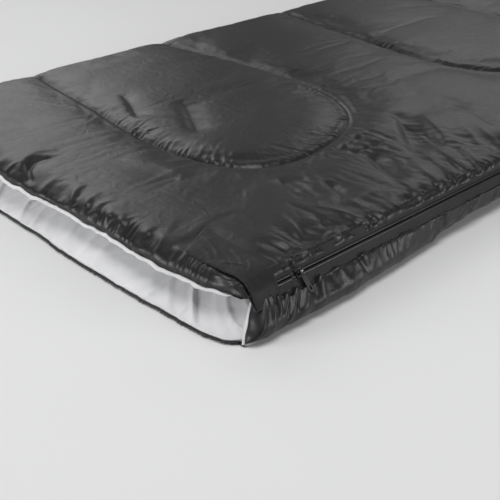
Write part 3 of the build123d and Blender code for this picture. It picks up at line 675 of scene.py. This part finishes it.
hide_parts("cover_outer_shell", "cover_filling", "cover_lining")
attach(cover_quilt, "cover")

# ------------------------------------------------------------------ rolled light hem along the lip
hx_ = graded(-386.0, 353.0, lambda u: 2.0 if u > -200 else 4.0)
lipc = np.stack([hx_, lip_y(hx_) - 0.6, lip_z(hx_) - 2.2], -1)
arc = np.clip((-357 - hx_) / 31, 0, 1)
lipc[:, 2] = np.where(hx_ < -357, 31 + 12.2 * np.sqrt(np.clip(1 - arc ** 2, 0, 1)) - 2.2 * (1 - arc) + 2.4 * arc, lipc[:, 2])
k = len(hx_)
ang = np.arange(14) / 14 * 2 * math.pi
rr = 1.95 + 0.55 * vnoise(hx_ / 9.0, hx_ * 0, 6)[:, None] + 0.35 * vnoise(hx_[:, None] / 4.5 + np.sin(ang)[None], np.cos(ang)[None] * 1.2 + 0 * hx_[:, None], 7)
rr = rr * (1 - 0.85 * sstep(340, 353, hx_))[:, None] * (0.4 + 0.6 * sstep(-386, -366, hx_))[:, None]
cover_hem = tube("cover_hem", lipc, rr, (M_LINING,), n=14, squash=(1.15, 1.0))
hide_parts("cover_head_hem")
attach(cover_hem, "cover")

# ------------------------------------------------------------------ base quilt, lining on top
BX1, BY1 = 378.0, 882.0
BU = graded(FCX - ARC, BX1, lambda u: 3.0 if u < -345 else (6.0 if u < -160 else 2.5))
BV = graded(HEAD, BY1, lambda v: 2.0 if v < -800 else (6.0 if v < -400 else 9.0))
X, Y = np.meshgrid(BU, BV, indexing="ij")
th = np.clip((FCX - X) / 28.0, 0, math.pi / 2)
split = np.clip((FCX - X - 28.0 * math.pi / 2) / (ARC - 28.0 * math.pi / 2), 0, 1)
edge_x = np.interp(Y, [-898, -880, -800, -640, -542, -456, -374, -250, 0, 900], [377, 372, 348, 346, 342, 338, 328, 334, 346, 348])
Xw = np.where(X > 300, 300 + (X - 300) * (edge_x - 300) / (BX1 - 300), X)
bx = np.where(X < FCX, FCX - 6 * np.sin(th) - split * 24.7, Xw)
dh = Y - HEAD
bd, bt = base_seam(X, Y)
ell = lambda d, w: 1 - np.sqrt(np.clip(1 - np.clip(1 - d / w, 0, 1) ** 2, 0, 1))
edge = np.minimum(BX1 - X, BY1 - Y)
hd = 21.0 * np.where(dh < 50, (1 - np.clip(dh, 0, 50) / 50.0) ** 1.7, 0)
rim = 12.0 * ell(edge, 6.0)
std = 6.5 * np.exp(-bd / 18.0)
bz = 25.5 - (hd ** 2.2 + rim ** 2.2 + std ** 2.2) ** (1 / 2.2)
hh = (1.6 * fbm(X / 90, Y / 110, 6, 3) + puckers(bt, bd, 2, amp=0.5, long_amp=1.6) + gathers(bt, bd, 1, 22.0, 2.0, 45.0)) * sstep(0, 20, dh) * sstep(0, 12, edge)
# soft creases that run in from the head edge
hh = hh + (gathers(X, dh, 2, 17.0, 6.5, 50.0, lean=1.1, sharp=1.3) + gathers(X, dh, 5, 34.0, 7.5, 80.0, lean=1.5) + (0.5 + sstep(200, 320, X)) * gathers(X, dh, 7, 6.5, 2.2, 15.0)) * sstep(0, 6, dh) * sstep(0, 10, edge)
wall = 361.0 - X
hh = hh + gathers(Y, np.maximum(wall, 0), 4, 14.0, 2.6, 22.0, lean=1.0) * sstep(0, 7, dh) * sstep(-2, 6, wall)
bz = bz + hh
bz = np.where(X < FCX, 30.55 - 6 * np.cos(th) * (1 - split) - hd * 0.55 * (1 - split) * np.cos(th), bz)
bz = np.minimum(bz, 33.5)
bz = np.where(dh < 3, np.maximum(bz, 3.2), np.maximum(bz, 4.0))
by = Y + 2.0 * vnoise(X / 48.0, Y * 0, 4) * np.exp(-dh / 20) + 0.8 * vnoise(X / 9.0, Y * 0, 5) * np.exp(-dh / 8) + head_bow(X) * np.clip(1 - dh / 90.0, 0, 1)
base_top = np.stack([bx, by, bz], -1)
I = every(len(BU), BU, -350, 6)
J = coarse_index(len(BV), 6)
X, Y = np.meshgrid(BU[I], BV[J], indexing="ij")
B = base_top[np.ix_(I, J)].copy()
th = np.clip((FCX - X) / FR, 0, TH_MAX)
B[..., 2] = np.where(X < FCX, 31 - FR * np.cos(th), 0.6)
B[..., 0] = np.where(X < FCX, FCX - FR * np.sin(th), B[..., 0])
base_quilt = pad("base_quilt", base_top, I, J, B, (M_LINING, M_SHELL))
# black cloth closes the open end of the fold at the foot
for ob_, y_from, index_ in ((base_quilt, 0.862, 1), (cover_quilt, 0.855, 0)):
    for p_ in ob_.data.polygons:
        if p_.center.x < -0.340 and p_.center.y > y_from:
            p_.material_index = index_
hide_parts("base_outer_shell", "base_filling", "base_lining")
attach(base_quilt, "base")

# gathered black binding along the head edge
gx = graded(-380.0, 374.0, lambda u: 1.6 if u > -200 else 4.0)
gy = HEAD + 2.0 * vnoise(gx / 48.0, gx * 0, 4) + 0.8 * vnoise(gx / 9.0, gx * 0, 5) - 0.4 + head_bow(gx)
gz = 2.3 + 0.35 * vnoise(gx / 30.0, gx * 0, 3)
gz = np.where(gx < FCX, 2.3 + 31 - 31 * np.cos(np.arcsin(np.clip((FCX - gx) / 31, 0, 1))), gz)
ang = np.arange(12) / 12 * 2 * math.pi
gr = 1.55 + 0.42 * np.sin(2 * math.pi * (gx / 5.2 + 1.1 * vnoise(gx / 17.0, gx * 0, 2)))[:, None] * (0.7 + 0.3 * np.cos(ang))[None] + 0.3 * vnoise(gx / 11.0, gx * 0, 1)[:, None]
base_binding = tube("base_binding", np.stack([gx, gy, gz], -1), gr, (M_BIND,), n=12, squash=(1.1, 1.0))
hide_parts("base_head_binding")
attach(base_binding, "base")

# ------------------------------------------------------------------ side and foot band, under the zip
pth = graded(HEAD, 810.0, lambda v: 2.0 if v < -380 else (3.5 if v < -250 else 6.0))
nc = 30
ph = np.linspace(0, math.pi / 2, nc + 1)[1:]
foot_x = graded(0.0, 298.0 + 356.0, lambda v: 6.0)[1:]
cx_ = np.concatenate([np.full(len(pth), 298.0), np.full(nc, 298.0), 298.0 - foot_x])
cy_ = np.concatenate([pth, np.full(nc, 810.0), np.full(len(foot_x), 810.0)])
al = np.concatenate([np.zeros(len(pth)), ph, np.full(len(foot_x), math.pi / 2)])
run = np.concatenate([pth, 810 + 85 * ph, 810 + 85 * math.pi / 2 + foot_x])
bulge = np.interp(run, [-900, -806, -745, -664, -584, -542, -456, -374, -250, -100, 150, 400, 650, 900, 1200, 1700], [393, 396, 396, 391, 385, 382, 380, 378, 380, 382, 379, 384, 380, 386, 382, 385]) + 1.2 * vnoise(run / 60.0, run * 0, 6)
tuck = np.interp(run, [-897, -874, -859, -806, -745, -664, -584, -542, -456, -374, -250, -100, 150, 400, 650, 900, 1200, 1700], [124.2, 124.9, 126.2, 126.8, 127.0, 124.3, 121.3, 118.6, 116.4, 111.5, 114, 119, 117, 121, 119, 123, 121, 123])


def out_at(z_, k_):
    return min(bulge[k_], (0.8859 * z_ + tuck[k_]) / 0.3306 - 8.0)


# outside of the section, from the zip tape down to the ground, as a function of q
q = np.concatenate([np.linspace(0, 1, 23), np.zeros(0)])
seam_s = 14.4 + 0.7 * vnoise(run / 9.0, run * 0, 1) + 0.5 * vnoise(run / 23.0, run * 0, 3)
A = np.stack([ZX + R2 * (seam_s + 0.75), ZZ + R2 * (0.75 - seam_s)], -1)
A2 = np.stack([ZX + R2 * (seam_s - 0.3 + 2.4), ZZ + R2 * (2.4 - seam_s + 0.3)], -1)
sec = []
for k in range(len(run)):
    b = bulge[k]
    pts = [A[k], A2[k], (0.5 * A2[k][0] + 0.5 * b + 0.8, 29.5), (out_at(19.0, k), 19.0), (out_at(9.5, k) - 1.5, 9.5), (out_at(3.0, k), 3.0), (out_at(0.6, k) - 4.0, 0.5)]
    sec.append(sample_curve([np.array(p_) for p_ in pts], 23))
sec = np.array(sec)                       # (run, 23, 2): radius-like x, z
tang = np.gradient(sec, axis=1)
tang /= np.linalg.norm(tang, axis=-1, keepdims=True)
nout = np.stack([-tang[..., 1], tang[..., 0]], -1)
arcl = np.concatenate([np.zeros((len(run), 1)), np.cumsum(np.linalg.norm(np.diff(sec, axis=1), axis=-1), 1)], 1)
R_ = np.broadcast_to(run[:, None], arcl.shape)
dsm = arcl
dbt = arcl[:, -1:] - arcl
hb = gathers(R_ + 0.5 * dsm, dsm, 2, 10.0, 4.6, 20.0, lean=0.6) + gathers(R_ + 0.7 * dsm, dsm, 6, 24.0, 6.0, 44.0, lean=0.9) + gathers(R_, dsm, 1, 4.6, 1.6, 8.0)
hb += gathers(R_, dbt, 4, 19.0, 3.0, 22.0, lean=0.9) + 1.0 * fbm(R_ / 26, arcl / 13, 3, 3)
hb *= np.clip(dsm / 3.0, 0.08, 1) * np.clip(dbt / 15.0, 0, 1)
# two deep pleats by the mouth, under the tab and the slider
for yc, w, a, ln in ((-872, 3.2, 3.0, 0.1), (-864, 3.0, -4.5, 0.2), (-856, 3.4, 3.6, 0.4), (-848, 2.6, -4.0, 0.5), (-840, 3.4, 3.4, 0.7), (-831, 3.0, -5.5, 0.8), (-822, 3.6, 3.8, 0.9),
                     (-813, 3.2, -5.0, 0.9), (-803, 3.6, 3.0, 0.8), (-794, 2.6, -4.2, 0.5), (-786, 3.2, 3.2, 0.3), (-772, 5.0, -3.0, -0.3), (-758, 4.0, 2.6, -0.4), (-722, 3.0, -4.0, -0.2), (-560, 3.0, -4.0, 0.1)):
    hb += a * np.exp(-((R_ + ln * dsm - yc) / (w * (1 + dsm / 40))) ** 2) * np.exp(-(dsm / 26) ** 1.5) * np.clip(dsm / 3.0, 0, 1) * np.clip(dbt / 8.0, 0, 1)
hb = np.where(hb > 0, 4.5 * np.tanh(hb / 4.5), 7 * np.tanh(hb / 7))
sec = sec + nout * hb[..., None]
sec[..., 1] = np.maximum(sec[..., 1], 0.35)
ins_h = np.array([(382.5, 0.6), (379.5, 1.2), (378.2, 4.0), (375.5, 11.0), (370.5, 20.0), (366.0, 28.0), (363.5, 35.0), (364.5, 38.2), (369.0, 39.2)])
ins_d = np.array([(366.0, 0.5), (361.2, 0.9), (360.6, 6.0), (360.4, 14.0), (360.5, 23.0), (360.8, 31.0), (362.5, 36.0), (369.5, 36.6), (374.5, 35.8)])
ins_d = np.broadcast_to(ins_d, (len(run), 9, 2)).copy()
for k in range(len(run)):
    for j, z_ in ((0, 0.6), (1, 0.6), (2, 5.0), (3, 13.0), (4, 22.0)):
        ins_d[k, j, 0] = min(ins_d[k, j, 0], out_at(z_, k) - (7.0 if j else 5.0))
blend_ = (1 - sstep(HEAD + 18, HEAD + 80, run))[:, None, None]
ins_n = ins_h[None] * blend_ + ins_d * (1 - blend_)
ins_n[:, 3:6, 0] -= (1.5 + 1.5 * gathers(run, run * 0, 3, 13.0, 1.0, 10.0))[:, None] * np.array([0.6, 1.0, 0.6])
hb_ = (1 - sstep(HEAD + 10, HEAD + 60, run))[:, None]
top_in = np.exp(-arcl / 9.0) * hb_
sec[..., 0] -= 9.0 * top_in
sec[..., 1] += 4.5 * top_in
loop = np.concatenate([sec, ins_n], 1)
nl = loop.shape[1]
rad = loop[..., 0] - 298.0
gxx = cx_[:, None] + rad * np.cos(al)[:, None]
gyy = cy_[:, None] + rad * np.sin(al)[:, None]
slant = np.exp(-(run - HEAD) / 34.0)[:, None] * (run < 0)[:, None]
gyy = gyy + slant * (31.0 * np.clip(loop[..., 1] - 2, 0, 40) / 36.0)
V3 = np.stack([gxx, gyy, np.broadcast_to(loop[..., 1], gxx.shape)], -1)
faces = quads(len(run), nl, wrap=True).tolist()
fm = np.array([0 if (f[0] % nl) < 22 or (f[0] % nl) == nl - 1 else 1 for f in faces] + [1, 0], np.int32)
faces = [f[::-1] for f in faces] + [list(range(nl))[::-1], [(len(run) - 1) * nl + j for j in range(nl)]]
faces[-2], faces[-1] = faces[-2][::-1], faces[-1][::-1]
side_band = new_mesh("side_band", V3.reshape(-1, 3), faces, (M_SHELL, M_LINING), fm)
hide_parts("side_band_shell", "side_band_filling", "side_band_lining", "foot_band_shell", "foot_band_filling", "foot_band_lining")
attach(side_band, "base")

# black turned end of the band, bulging a little, and the light rolled strip down its inner edge
o_ = loop[0, :23]
i_s = sample_curve(np.concatenate([loop[0, :1], loop[0, 23:][::-1], loop[0, 22:23]]), 23)
wv = np.linspace(0, 1, 11)
grid = o_[None] * (1 - wv)[:, None, None] + i_s[None] * wv[:, None, None]
width_ = np.linalg.norm(o_ - i_s, axis=1)[None] * np.ones((11, 1))
yy = HEAD + 31.0 * np.clip(grid[..., 1] - 2, 0, 40) / 36.0 - (0.6 + np.minimum(width_ * 0.22, 4.0)) * np.sin(math.pi * wv)[:, None] ** 0.7
yy = yy + 0.5 * np.sin(grid[..., 1] / 2.2) * np.sin(math.pi * wv)[:, None]
front = np.stack([grid[..., 0], yy, grid[..., 1]], -1)
backs = front.copy()
backs[..., 1] = HEAD + 31.0 * np.clip(grid[..., 1] - 2, 0, 40) / 36.0 + 1.2
band_end = closed_sheet("band_end", front, backs, (M_SHELL,))
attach(band_end, "base")
line = sample_curve([(380.6, -899.0, 2.6), (378.6, -896.5, 4.6), (374.6, -889.5, 12.5), (370.0, -881.0, 21.0), (366.2, -873.0, 29.0), (364.4, -867.0, 35.0), (364.6, -862.5, 39.0)], 46)
tt_ = np.linspace(0, 1, 46)
ang = np.arange(14) / 14 * 2 * math.pi
fr_ = (1.9 + 1.5 * sstep(0.05, 0.75, tt_) - 1.3 * sstep(0.9, 1.0, tt_))[:, None] + 0.22 * vnoise(tt_[:, None] * 9 + np.sin(ang)[None], np.cos(ang)[None] + 0 * tt_[:, None], 5)
facing = tube("band_facing", line, fr_, (M_LINING,), n=14, squash=(1.0, 0.9))
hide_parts("side_band_facing")
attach(facing, "base")


# ------------------------------------------------------------------ closure tab, lying on the cover
from mathutils import kdtree


class Height:
    """Height of a grid of points at scattered places."""

    def __init__(self, top):
        self.z = top[..., 2].ravel()
        X_, Y_ = top[..., 0].ravel(), top[..., 1].ravel()
        self.kd = kdtree.KDTree(len(X_))
        for i_ in range(len(X_)):
            self.kd.insert((X_[i_], Y_[i_], 0), i_)
        self.kd.balance()

    def __call__(self, x_, y_):
        out = []
        for p, q_ in zip(np.ravel(x_), np.ravel(y_)):
            f = self.kd.find_n((p, q_, 0), 4)
            w_ = np.array([1 / (d_ + 0.05) for _, _, d_ in f])
            out.append(float((w_ * self.z[[i_ for _, i_, _ in f]]).sum() / w_.sum()))
        return np.array(out).reshape(np.shape(x_))


iu, iv = U > 215, V < -790
soft = cover_top[np.ix_(iu, iv)].copy()
ku, kv = gauss(U[iu], 4.0), gauss(V[iv], 4.0)
soft[..., 2] = np.maximum(ku @ soft[..., 2] @ kv.T, soft[..., 2] - 0.5)
under_tab = Height(soft)


def zpt(s, n):
    return (ZX + R2 * (s + n), ZZ + R2 * (n - s))


TAB_MID = sample_curve([zpt(17.8, 1.3), zpt(12, 2.0), zpt(6, 2.9), zpt(0.8, 4.6), (366.4, 53.4), (359.8, 58.6), (350.0, 61.6), (336.0, 62.6), (300.0, 62.6), (262.0, 62.6), (246.0, 62.6)], 320)
TAB_RUN = np.concatenate([[0], np.cumsum(np.linalg.norm(np.diff(TAB_MID, axis=0), axis=1))])


def tab_place(u, v):
    """u from the root to the free end, v across: plan position, height, run along the strap."""
    lo = -880.0 + 1.2 * np.sin(u * 5.0)
    hi = -843.0 + 15.5 * u
    yv = lo + (hi - lo) * v
    end = TAB_RUN[-1] - 27.0 * (1 - v) ** 1.15 - 1.5 * v
    run_ = u * end
    return np.interp(run_, TAB_RUN, TAB_MID[:, 0]), yv, np.interp(run_, TAB_RUN, TAB_MID[:, 1]), run_


TU, TV = np.meshgrid(np.linspace(0, 1, 120), np.linspace(0, 1, 44), indexing="ij")
tx, ty, tzc, ts_ = tab_place(TU, TV)
on = 1 - sstep(330, 352, tx)
tz_ = tzc.copy()
m = tx < 353
tz_[m] = (tzc * (1 - on))[m] + ((under_tab(tx[m], ty[m]) + 2.7) * on[m])
T0 = np.stack([tx, ty, tz_], -1)
tn = normals(T0)
if tn[90, 20, 2] < 0:
    tn = -tn
rim_ = np.minimum(np.minimum(TV, 1 - TV) * 42.0, (1 - TU) * 128.0)
hT = 0.55 * fbm(tx / 16, ty / 12, 2, 3) * sstep(0, 0.3, TU)
for pts_, wd, ht in ((((258, -846), (282, -852), (312, -868)), 2.6, 1.5), (((300, -842), (322, -850), (346, -866)), 2.4, 1.5), (((316, -872), (332, -862), (350, -858)), 2.2, 1.3),
                     (((268, -862), (290, -866), (306, -874)), 2.4, 1.0), (((330, -846), (344, -854), (352, -866)), 2.0, 1.2), (((296, -856), (318, -862), (334, -872)), 2.0, -1.0)):
    hT += fold_line(tx, ty, pts_, wd, ht, 2)
hT -= 1.1 * np.exp(-(rim_ / 2.4) ** 2) * sstep(0.2, 0.42, TU)
hT -= 0.55 * np.exp(-((rim_ - 4.2) / 0.8) ** 2)
hT += 0.25 * np.sin(ts_ * 2 * math.pi / 7.0 + 3 * vnoise(ts_ / 20, ts_ * 0, 2)) * np.exp(-rim_ / 3.0)
thick = 0.62 * (1 - np.exp(-rim_ / 0.8)) + 0.06
tab = closed_sheet("tab_strap", T0 + tn * (hT + thick)[..., None], T0 + tn * (hT - thick)[..., None], (M_TAB,))
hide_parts("closure_tab")
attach(tab, "tab")


def patch(name, x0_, x1_, y0_, y1_, lift, thick_, mats, skew=0.0):
    A_, B_ = np.meshgrid(np.linspace(0, 1, 50), np.linspace(0, 1, 24), indexing="ij")
    r_ = 3.0
    px_ = x0_ + (x1_ - x0_) * A_
    py_ = y0_ + (y1_ - y0_) * B_
    cxn = np.clip(np.abs(px_ - (x0_ + x1_) / 2) - ((x1_ - x0_) / 2 - r_), 0, r_)
    cyn = np.clip(np.abs(py_ - (y0_ + y1_) / 2) - ((y1_ - y0_) / 2 - r_), 0, r_)
    k_ = np.maximum(np.hypot(cxn, cyn) / r_, 1.0)
    px_ = px_ - np.sign(px_ - (x0_ + x1_) / 2) * cxn * (1 - 1 / k_)
    py_ = py_ - np.sign(py_ - (y0_ + y1_) / 2) * cyn * (1 - 1 / k_)
    px_ = px_ + skew * (1 - B_) * (1 - A_)
    py_ = py_ - 9.0 * A_ * B_
    h_ = under_tab(px_, py_) + lift
    e_ = np.minimum(np.minimum(A_, 1 - A_) * (x1_ - x0_), np.minimum(B_, 1 - B_) * (y1_ - y0_))
    t_ = thick_ * (0.15 + 0.85 * (1 - np.exp(-e_ / 0.8)))
    rag = 0.12 * vnoise(px_ / 1.3, py_ / 1.3, 3)
    return closed_sheet(name, np.stack([px_, py_, h_ + t_ + rag], -1), np.stack([px_, py_, h_], -1), mats)


loop_ob = patch("loop_fastener", 258, 330, -859, -829, 0.0, 0.95, (M_LOOP,), skew=14)
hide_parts("loop_patch")
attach(loop_ob, "cover")
hook_ob = patch("hook_fastener", 258, 330, -859, -829, 1.15, 0.75, (M_HOOK,), skew=14)
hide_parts("hook_patch")
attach(hook_ob, "tab")

# ------------------------------------------------------------------ on the zip tapes: the ridge over the coil, rows of stitching
def zip_line(step, y0=-878.0, x_end=-326.0):
    """Along the zip: centre of turning, direction outward, run."""
    r_ = graded(y0, 810.0, lambda v_: step)
    c_ = np.linspace(0, math.pi / 2, max(6, int(110 / step)))[1:]
    f_ = graded(0.0, 298.0 - x_end, lambda v_: step)[1:]
    cx0 = np.concatenate([np.full(len(r_) + len(c_), 298.0), 298.0 - f_])
    cy0 = np.concatenate([r_, np.full(len(c_) + len(f_), 810.0)])
    al0 = np.concatenate([np.zeros(len(r_)), c_, np.full(len(f_), math.pi / 2)])
    rn = np.concatenate([r_, 810 + 70 * c_, 810 + 110 + f_])
    return cx0, cy0, al0, rn


def on_zip(line_, s_, n_):
    cx0, cy0, al0, rn = line_
    x_ = 70.0 + R2 * (s_ + n_)
    z_ = ZZ + R2 * (n_ - s_)
    return np.stack([cx0 + x_ * np.cos(al0), cy0 + x_ * np.sin(al0), z_ * np.ones_like(al0)], -1)


for side, body, tape_slot in ((1.0, "base", "zip_tape_black"), (-1.0, "cover", "zip_tape_black")):
    zl = zip_line(2.5)
    rows = [on_zip(zl, side * s_, n_ + 0.05 * np.sin(zl[3] * 2.1) * (n_ > 0.6)) for s_, n_ in ((0.72, 0.35), (0.78, 0.70), (1.5, 0.88), (2.6, 0.92), (3.5, 0.80), (4.1, 0.45), (3.0, 0.35))]
    sec_ = np.stack(rows, 1)
    nf = sec_.shape[1]
    fs = quads(len(zl[3]), nf, wrap=True).tolist() + [list(range(nf)), [(len(zl[3]) - 1) * nf + j for j in range(nf)][::-1]]
    ridge_ob = new_mesh("zip_ridge_" + body, sec_.reshape(-1, 3), fs, (M_COIL,))
    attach(ridge_ob, body)
    zl = zip_line(0.75)
    beat = np.abs(np.sin(math.pi * zl[3] / 3.0))
    for tag, s_ in (("a", 5.6), ("b", 12.4)) if side > 0 else (("a", 5.6),):
        c_ = on_zip(zl, side * s_, 0.42 + 0.28 * beat)
        row = tube("zip_stitch_" + body + "_" + tag, c_, 0.14 + 0.24 * beat, (M_THREAD,), n=5)
        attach(row, body)

# ------------------------------------------------------------------ finish on the CAD pieces that stay
nodes = frame["nodes"]
for n, m in (("base_zip_tape", M_TAPE), ("cover_zip_tape", M_TAPE), ("base_zip_coil", M_COIL), ("cover_zip_coil", M_COIL), ("base_zip_top_stop", M_METAL),
             ("cover_zip_top_stop", M_METAL), ("zip_bottom_stop", M_METAL), ("slider_body", M_METAL), ("slider_crown", M_METAL), ("pull_tab", M_METAL),
             ("hook_patch", M_HOOK), ("loop_patch", M_LOOP), ("base_quilting_thread", M_THREAD_G), ("cover_quilting_thread", M_THREAD)):
    nodes[n].data.materials.clear()
    nodes[n].data.materials.append(m)


# ------------------------------------------------------------------ quilting stitches that follow the cloth
def stitch_line(pairs, straight, x0):
    out = []
    for a, b in pairs:
        ym = (STITCH_Y[a] + STITCH_Y[b]) / 2
        L1, L2 = TURN_X - x0, math.pi * TURN_R
        s = np.arange(2.0, 2 * L1 + L2 - 2, 3.6)
        th = (s - L1) / TURN_R - math.pi / 2
        px = np.where(s < L1, x0 + s, np.where(s < L1 + L2, TURN_X + TURN_R * np.cos(th), TURN_X - (s - L1 - L2)))
        py = np.where(s < L1, ym - TURN_R, np.where(s < L1 + L2, ym + TURN_R * np.sin(th), ym + TURN_R))
        out.append((px, py))
    for k_ in straight:
        s = np.arange(x0 + 2.0, 353.0, 3.6)
        out.append((s, np.full(len(s), STITCH_Y[k_])))
    return out


def stitches(name, lines, top, mat, node_, body):
    v, f = [], []
    surf = Height(top)
    for px, py in lines:
        e = np.stack([px, py], -1)
        mid = (e[1:] + e[:-1]) / 2
        tn_ = e[1:] - e[:-1]
        keep = np.linalg.norm(tn_, axis=1) < 8
        mid, tn_ = mid[keep], tn_[keep]
        tn_ /= np.linalg.norm(tn_, axis=1)[:, None]
        pts = np.concatenate([mid - 1.45 * tn_, mid, mid + 1.45 * tn_])
        zs = surf(pts[:, 0], pts[:, 1]).reshape(3, -1)
        for k_ in range(len(mid)):
            t_ = tn_[k_]
            sd_ = np.array([-t_[1], t_[0]])
            base_i = len(v)
            for off, r_, zz in ((-1.5, 0.12, zs[0, k_] - 0.15), (-0.8, 0.42, zs[:2, k_].mean() + 0.30), (0.0, 0.48, zs[1, k_] + 0.42), (0.8, 0.42, zs[1:, k_].mean() + 0.30), (1.5, 0.12, zs[2, k_] - 0.15)):
                for a_ in range(6):
                    an = a_ * math.pi / 3
                    p_ = mid[k_] + off * t_ + sd_ * r_ * math.cos(an)
                    v.append((p_[0], p_[1], zz + r_ * math.sin(an)))
            for r1 in range(4):
                for a_ in range(6):
                    f.append([base_i + r1 * 6 + a_, base_i + r1 * 6 + (a_ + 1) % 6, base_i + (r1 + 1) * 6 + (a_ + 1) % 6, base_i + (r1 + 1) * 6 + a_])
            f.append([base_i + a_ for a_ in range(5, -1, -1)])
            f.append([base_i + 24 + a_ for a_ in range(6)])
    ob = new_mesh(name, np.array(v), f, (mat,))
    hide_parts(node_)
    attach(ob, body)
    return ob


sl = np.arange(3.0, LOOP_RUN[-1] - 3.0, 3.6)
loops = [(np.interp(sl, LOOP_RUN, LOOP[:, 0]), np.interp(sl, LOOP_RUN, LOOP[:, 1]) + k_ * QUILT_STEP) for k_ in range(3)]
stitches("cover_stitches", loops, cover_top, M_THREAD, "cover_quilting_thread", "cover")
stitches("base_stitches", stitch_line(((1, 2), (3, 4)), (0, 5), FCX + 2), base_top, M_THREAD_G, "base_quilting_thread", "base")

# ------------------------------------------------------------------ strip over the fold
sy = graded(-886.0, 875.0, lambda v: 5.0)
sz = np.linspace(23.5, 38.5, 13)
SY, SZ = np.meshgrid(sy, sz, indexing="ij")
sxo = FCX - np.sqrt(np.maximum(FR ** 2 - (SZ - 31) ** 2, 0)) - 0.45 - 0.25 * (1 - ((SZ - 31) / 7.5) ** 2)
outer = np.stack([sxo - 0.2, SY, SZ], -1)
inner_ = np.stack([sxo + 0.5, SY, SZ], -1)
fold_strip = closed_sheet("fold_strip", outer, inner_, (M_SHELL,))
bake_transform(fold_strip)

# ------------------------------------------------------------------ stage, light, camera
fm_ = bpy.data.materials.new("floor_pale")
fm_.use_nodes = True
nt = fm_.node_tree
bs = nt.nodes["Principled BSDF"]
tc = node(nt, "ShaderNodeTexCoord")
n1 = node(nt, "ShaderNodeTexNoise", inputs={"Scale": 1.3, "Detail": 3.0})
nt.links.new(tc.outputs["Object"], n1.inputs["Vector"])
rp = node(nt, "ShaderNodeValToRGB")
rp.color_ramp.elements[0].color = (0.80, 0.80, 0.80, 1)
rp.color_ramp.elements[1].color = (0.84, 0.84, 0.84, 1)
nt.links.new(n1.outputs["Fac"], rp.inputs["Fac"])
nt.links.new(rp.outputs["Color"], bs.inputs["Base Color"])
n2 = node(nt, "ShaderNodeTexNoise", inputs={"Scale": 240.0, "Detail": 4.0})
nt.links.new(tc.outputs["Object"], n2.inputs["Vector"])
bp = node(nt, "ShaderNodeBump", inputs={"Strength": 1.0, "Distance": 0.0001})
nt.links.new(n2.outputs["Fac"], bp.inputs["Height"])
nt.links.new(bp.outputs["Normal"], bs.inputs["Normal"])
bs.inputs["Roughness"].default_value = 0.6
bs.inputs["Specular IOR Level"].default_value = 0.25
bpy.ops.mesh.primitive_plane_add(size=14, location=(0, 0, 0))
floor = bpy.context.object
floor.name = "floor"
floor.data.materials.append(fm_)


def area(name, loc, target, size, power, shape="RECTANGLE", size_y=None, colour=(1, 1, 1)):
    d = bpy.data.lights.new(name, "AREA")
    d.energy = power
    d.shape = shape
    d.size = size
    if size_y:
        d.size_y = size_y
    d.color = colour
    o = bpy.data.objects.new(name, d)
    bpy.context.scene.collection.objects.link(o)
    o.location = loc
    o.rotation_euler = (Vector(target) - Vector(loc)).to_track_quat("-Z", "Y").to_euler()
    return o


area("key_softbox", (-3.3, 0.2, 1.8), (0.0, -0.6, 0.0), 2.8, 33, size_y=1.8)
area("back_softbox", (-1.4, 2.4, 1.55), (0.1, -0.5, 0.0), 1.2, 5.5, size_y=0.7)
area("top_softbox", (0.6, -0.9, 2.9), (0.1, -0.7, 0.0), 1.6, 42, size_y=1.6)
area("head_fill", (-1.0, -3.4, 0.9), (0.0, -0.8, 0.0), 1.8, 45, size_y=1.0)
area("side_light", (3.0, 0.9, 1.1), (0.2, -0.4, 0.0), 1.8, 36, size_y=1.0)
area("far_strip", (-0.2, 3.6, 1.4), (0.1, -0.3, 0.0), 2.4, 4, size_y=0.8)

w = bpy.data.worlds.new("studio")
bpy.context.scene.world = w
w.use_nodes = True
w.node_tree.nodes["Background"].inputs["Color"].default_value = (0.93, 0.94, 0.96, 1)
w.node_tree.nodes["Background"].inputs["Strength"].default_value = 0.14

cam_d = bpy.data.cameras.new("camera")
cam_d.lens = 72.0
cam_d.sensor_width = 36.0
cam_o = bpy.data.objects.new("camera", cam_d)
bpy.context.scene.collection.objects.link(cam_o)
az, el = math.radians(45.45), math.radians(27.64)
back = Vector((math.sin(az) * math.cos(el), -math.cos(az) * math.cos(el), math.sin(el)))
cam_o.location = (0.99314, -1.49283, 0.55795)
cam_o.rotation_euler = back.to_track_quat("Z", "Y").to_euler()
bpy.context.scene.camera = cam_o
bpy.context.scene.view_settings.view_transform = "Standard"

bpy.context.view_layer.update()
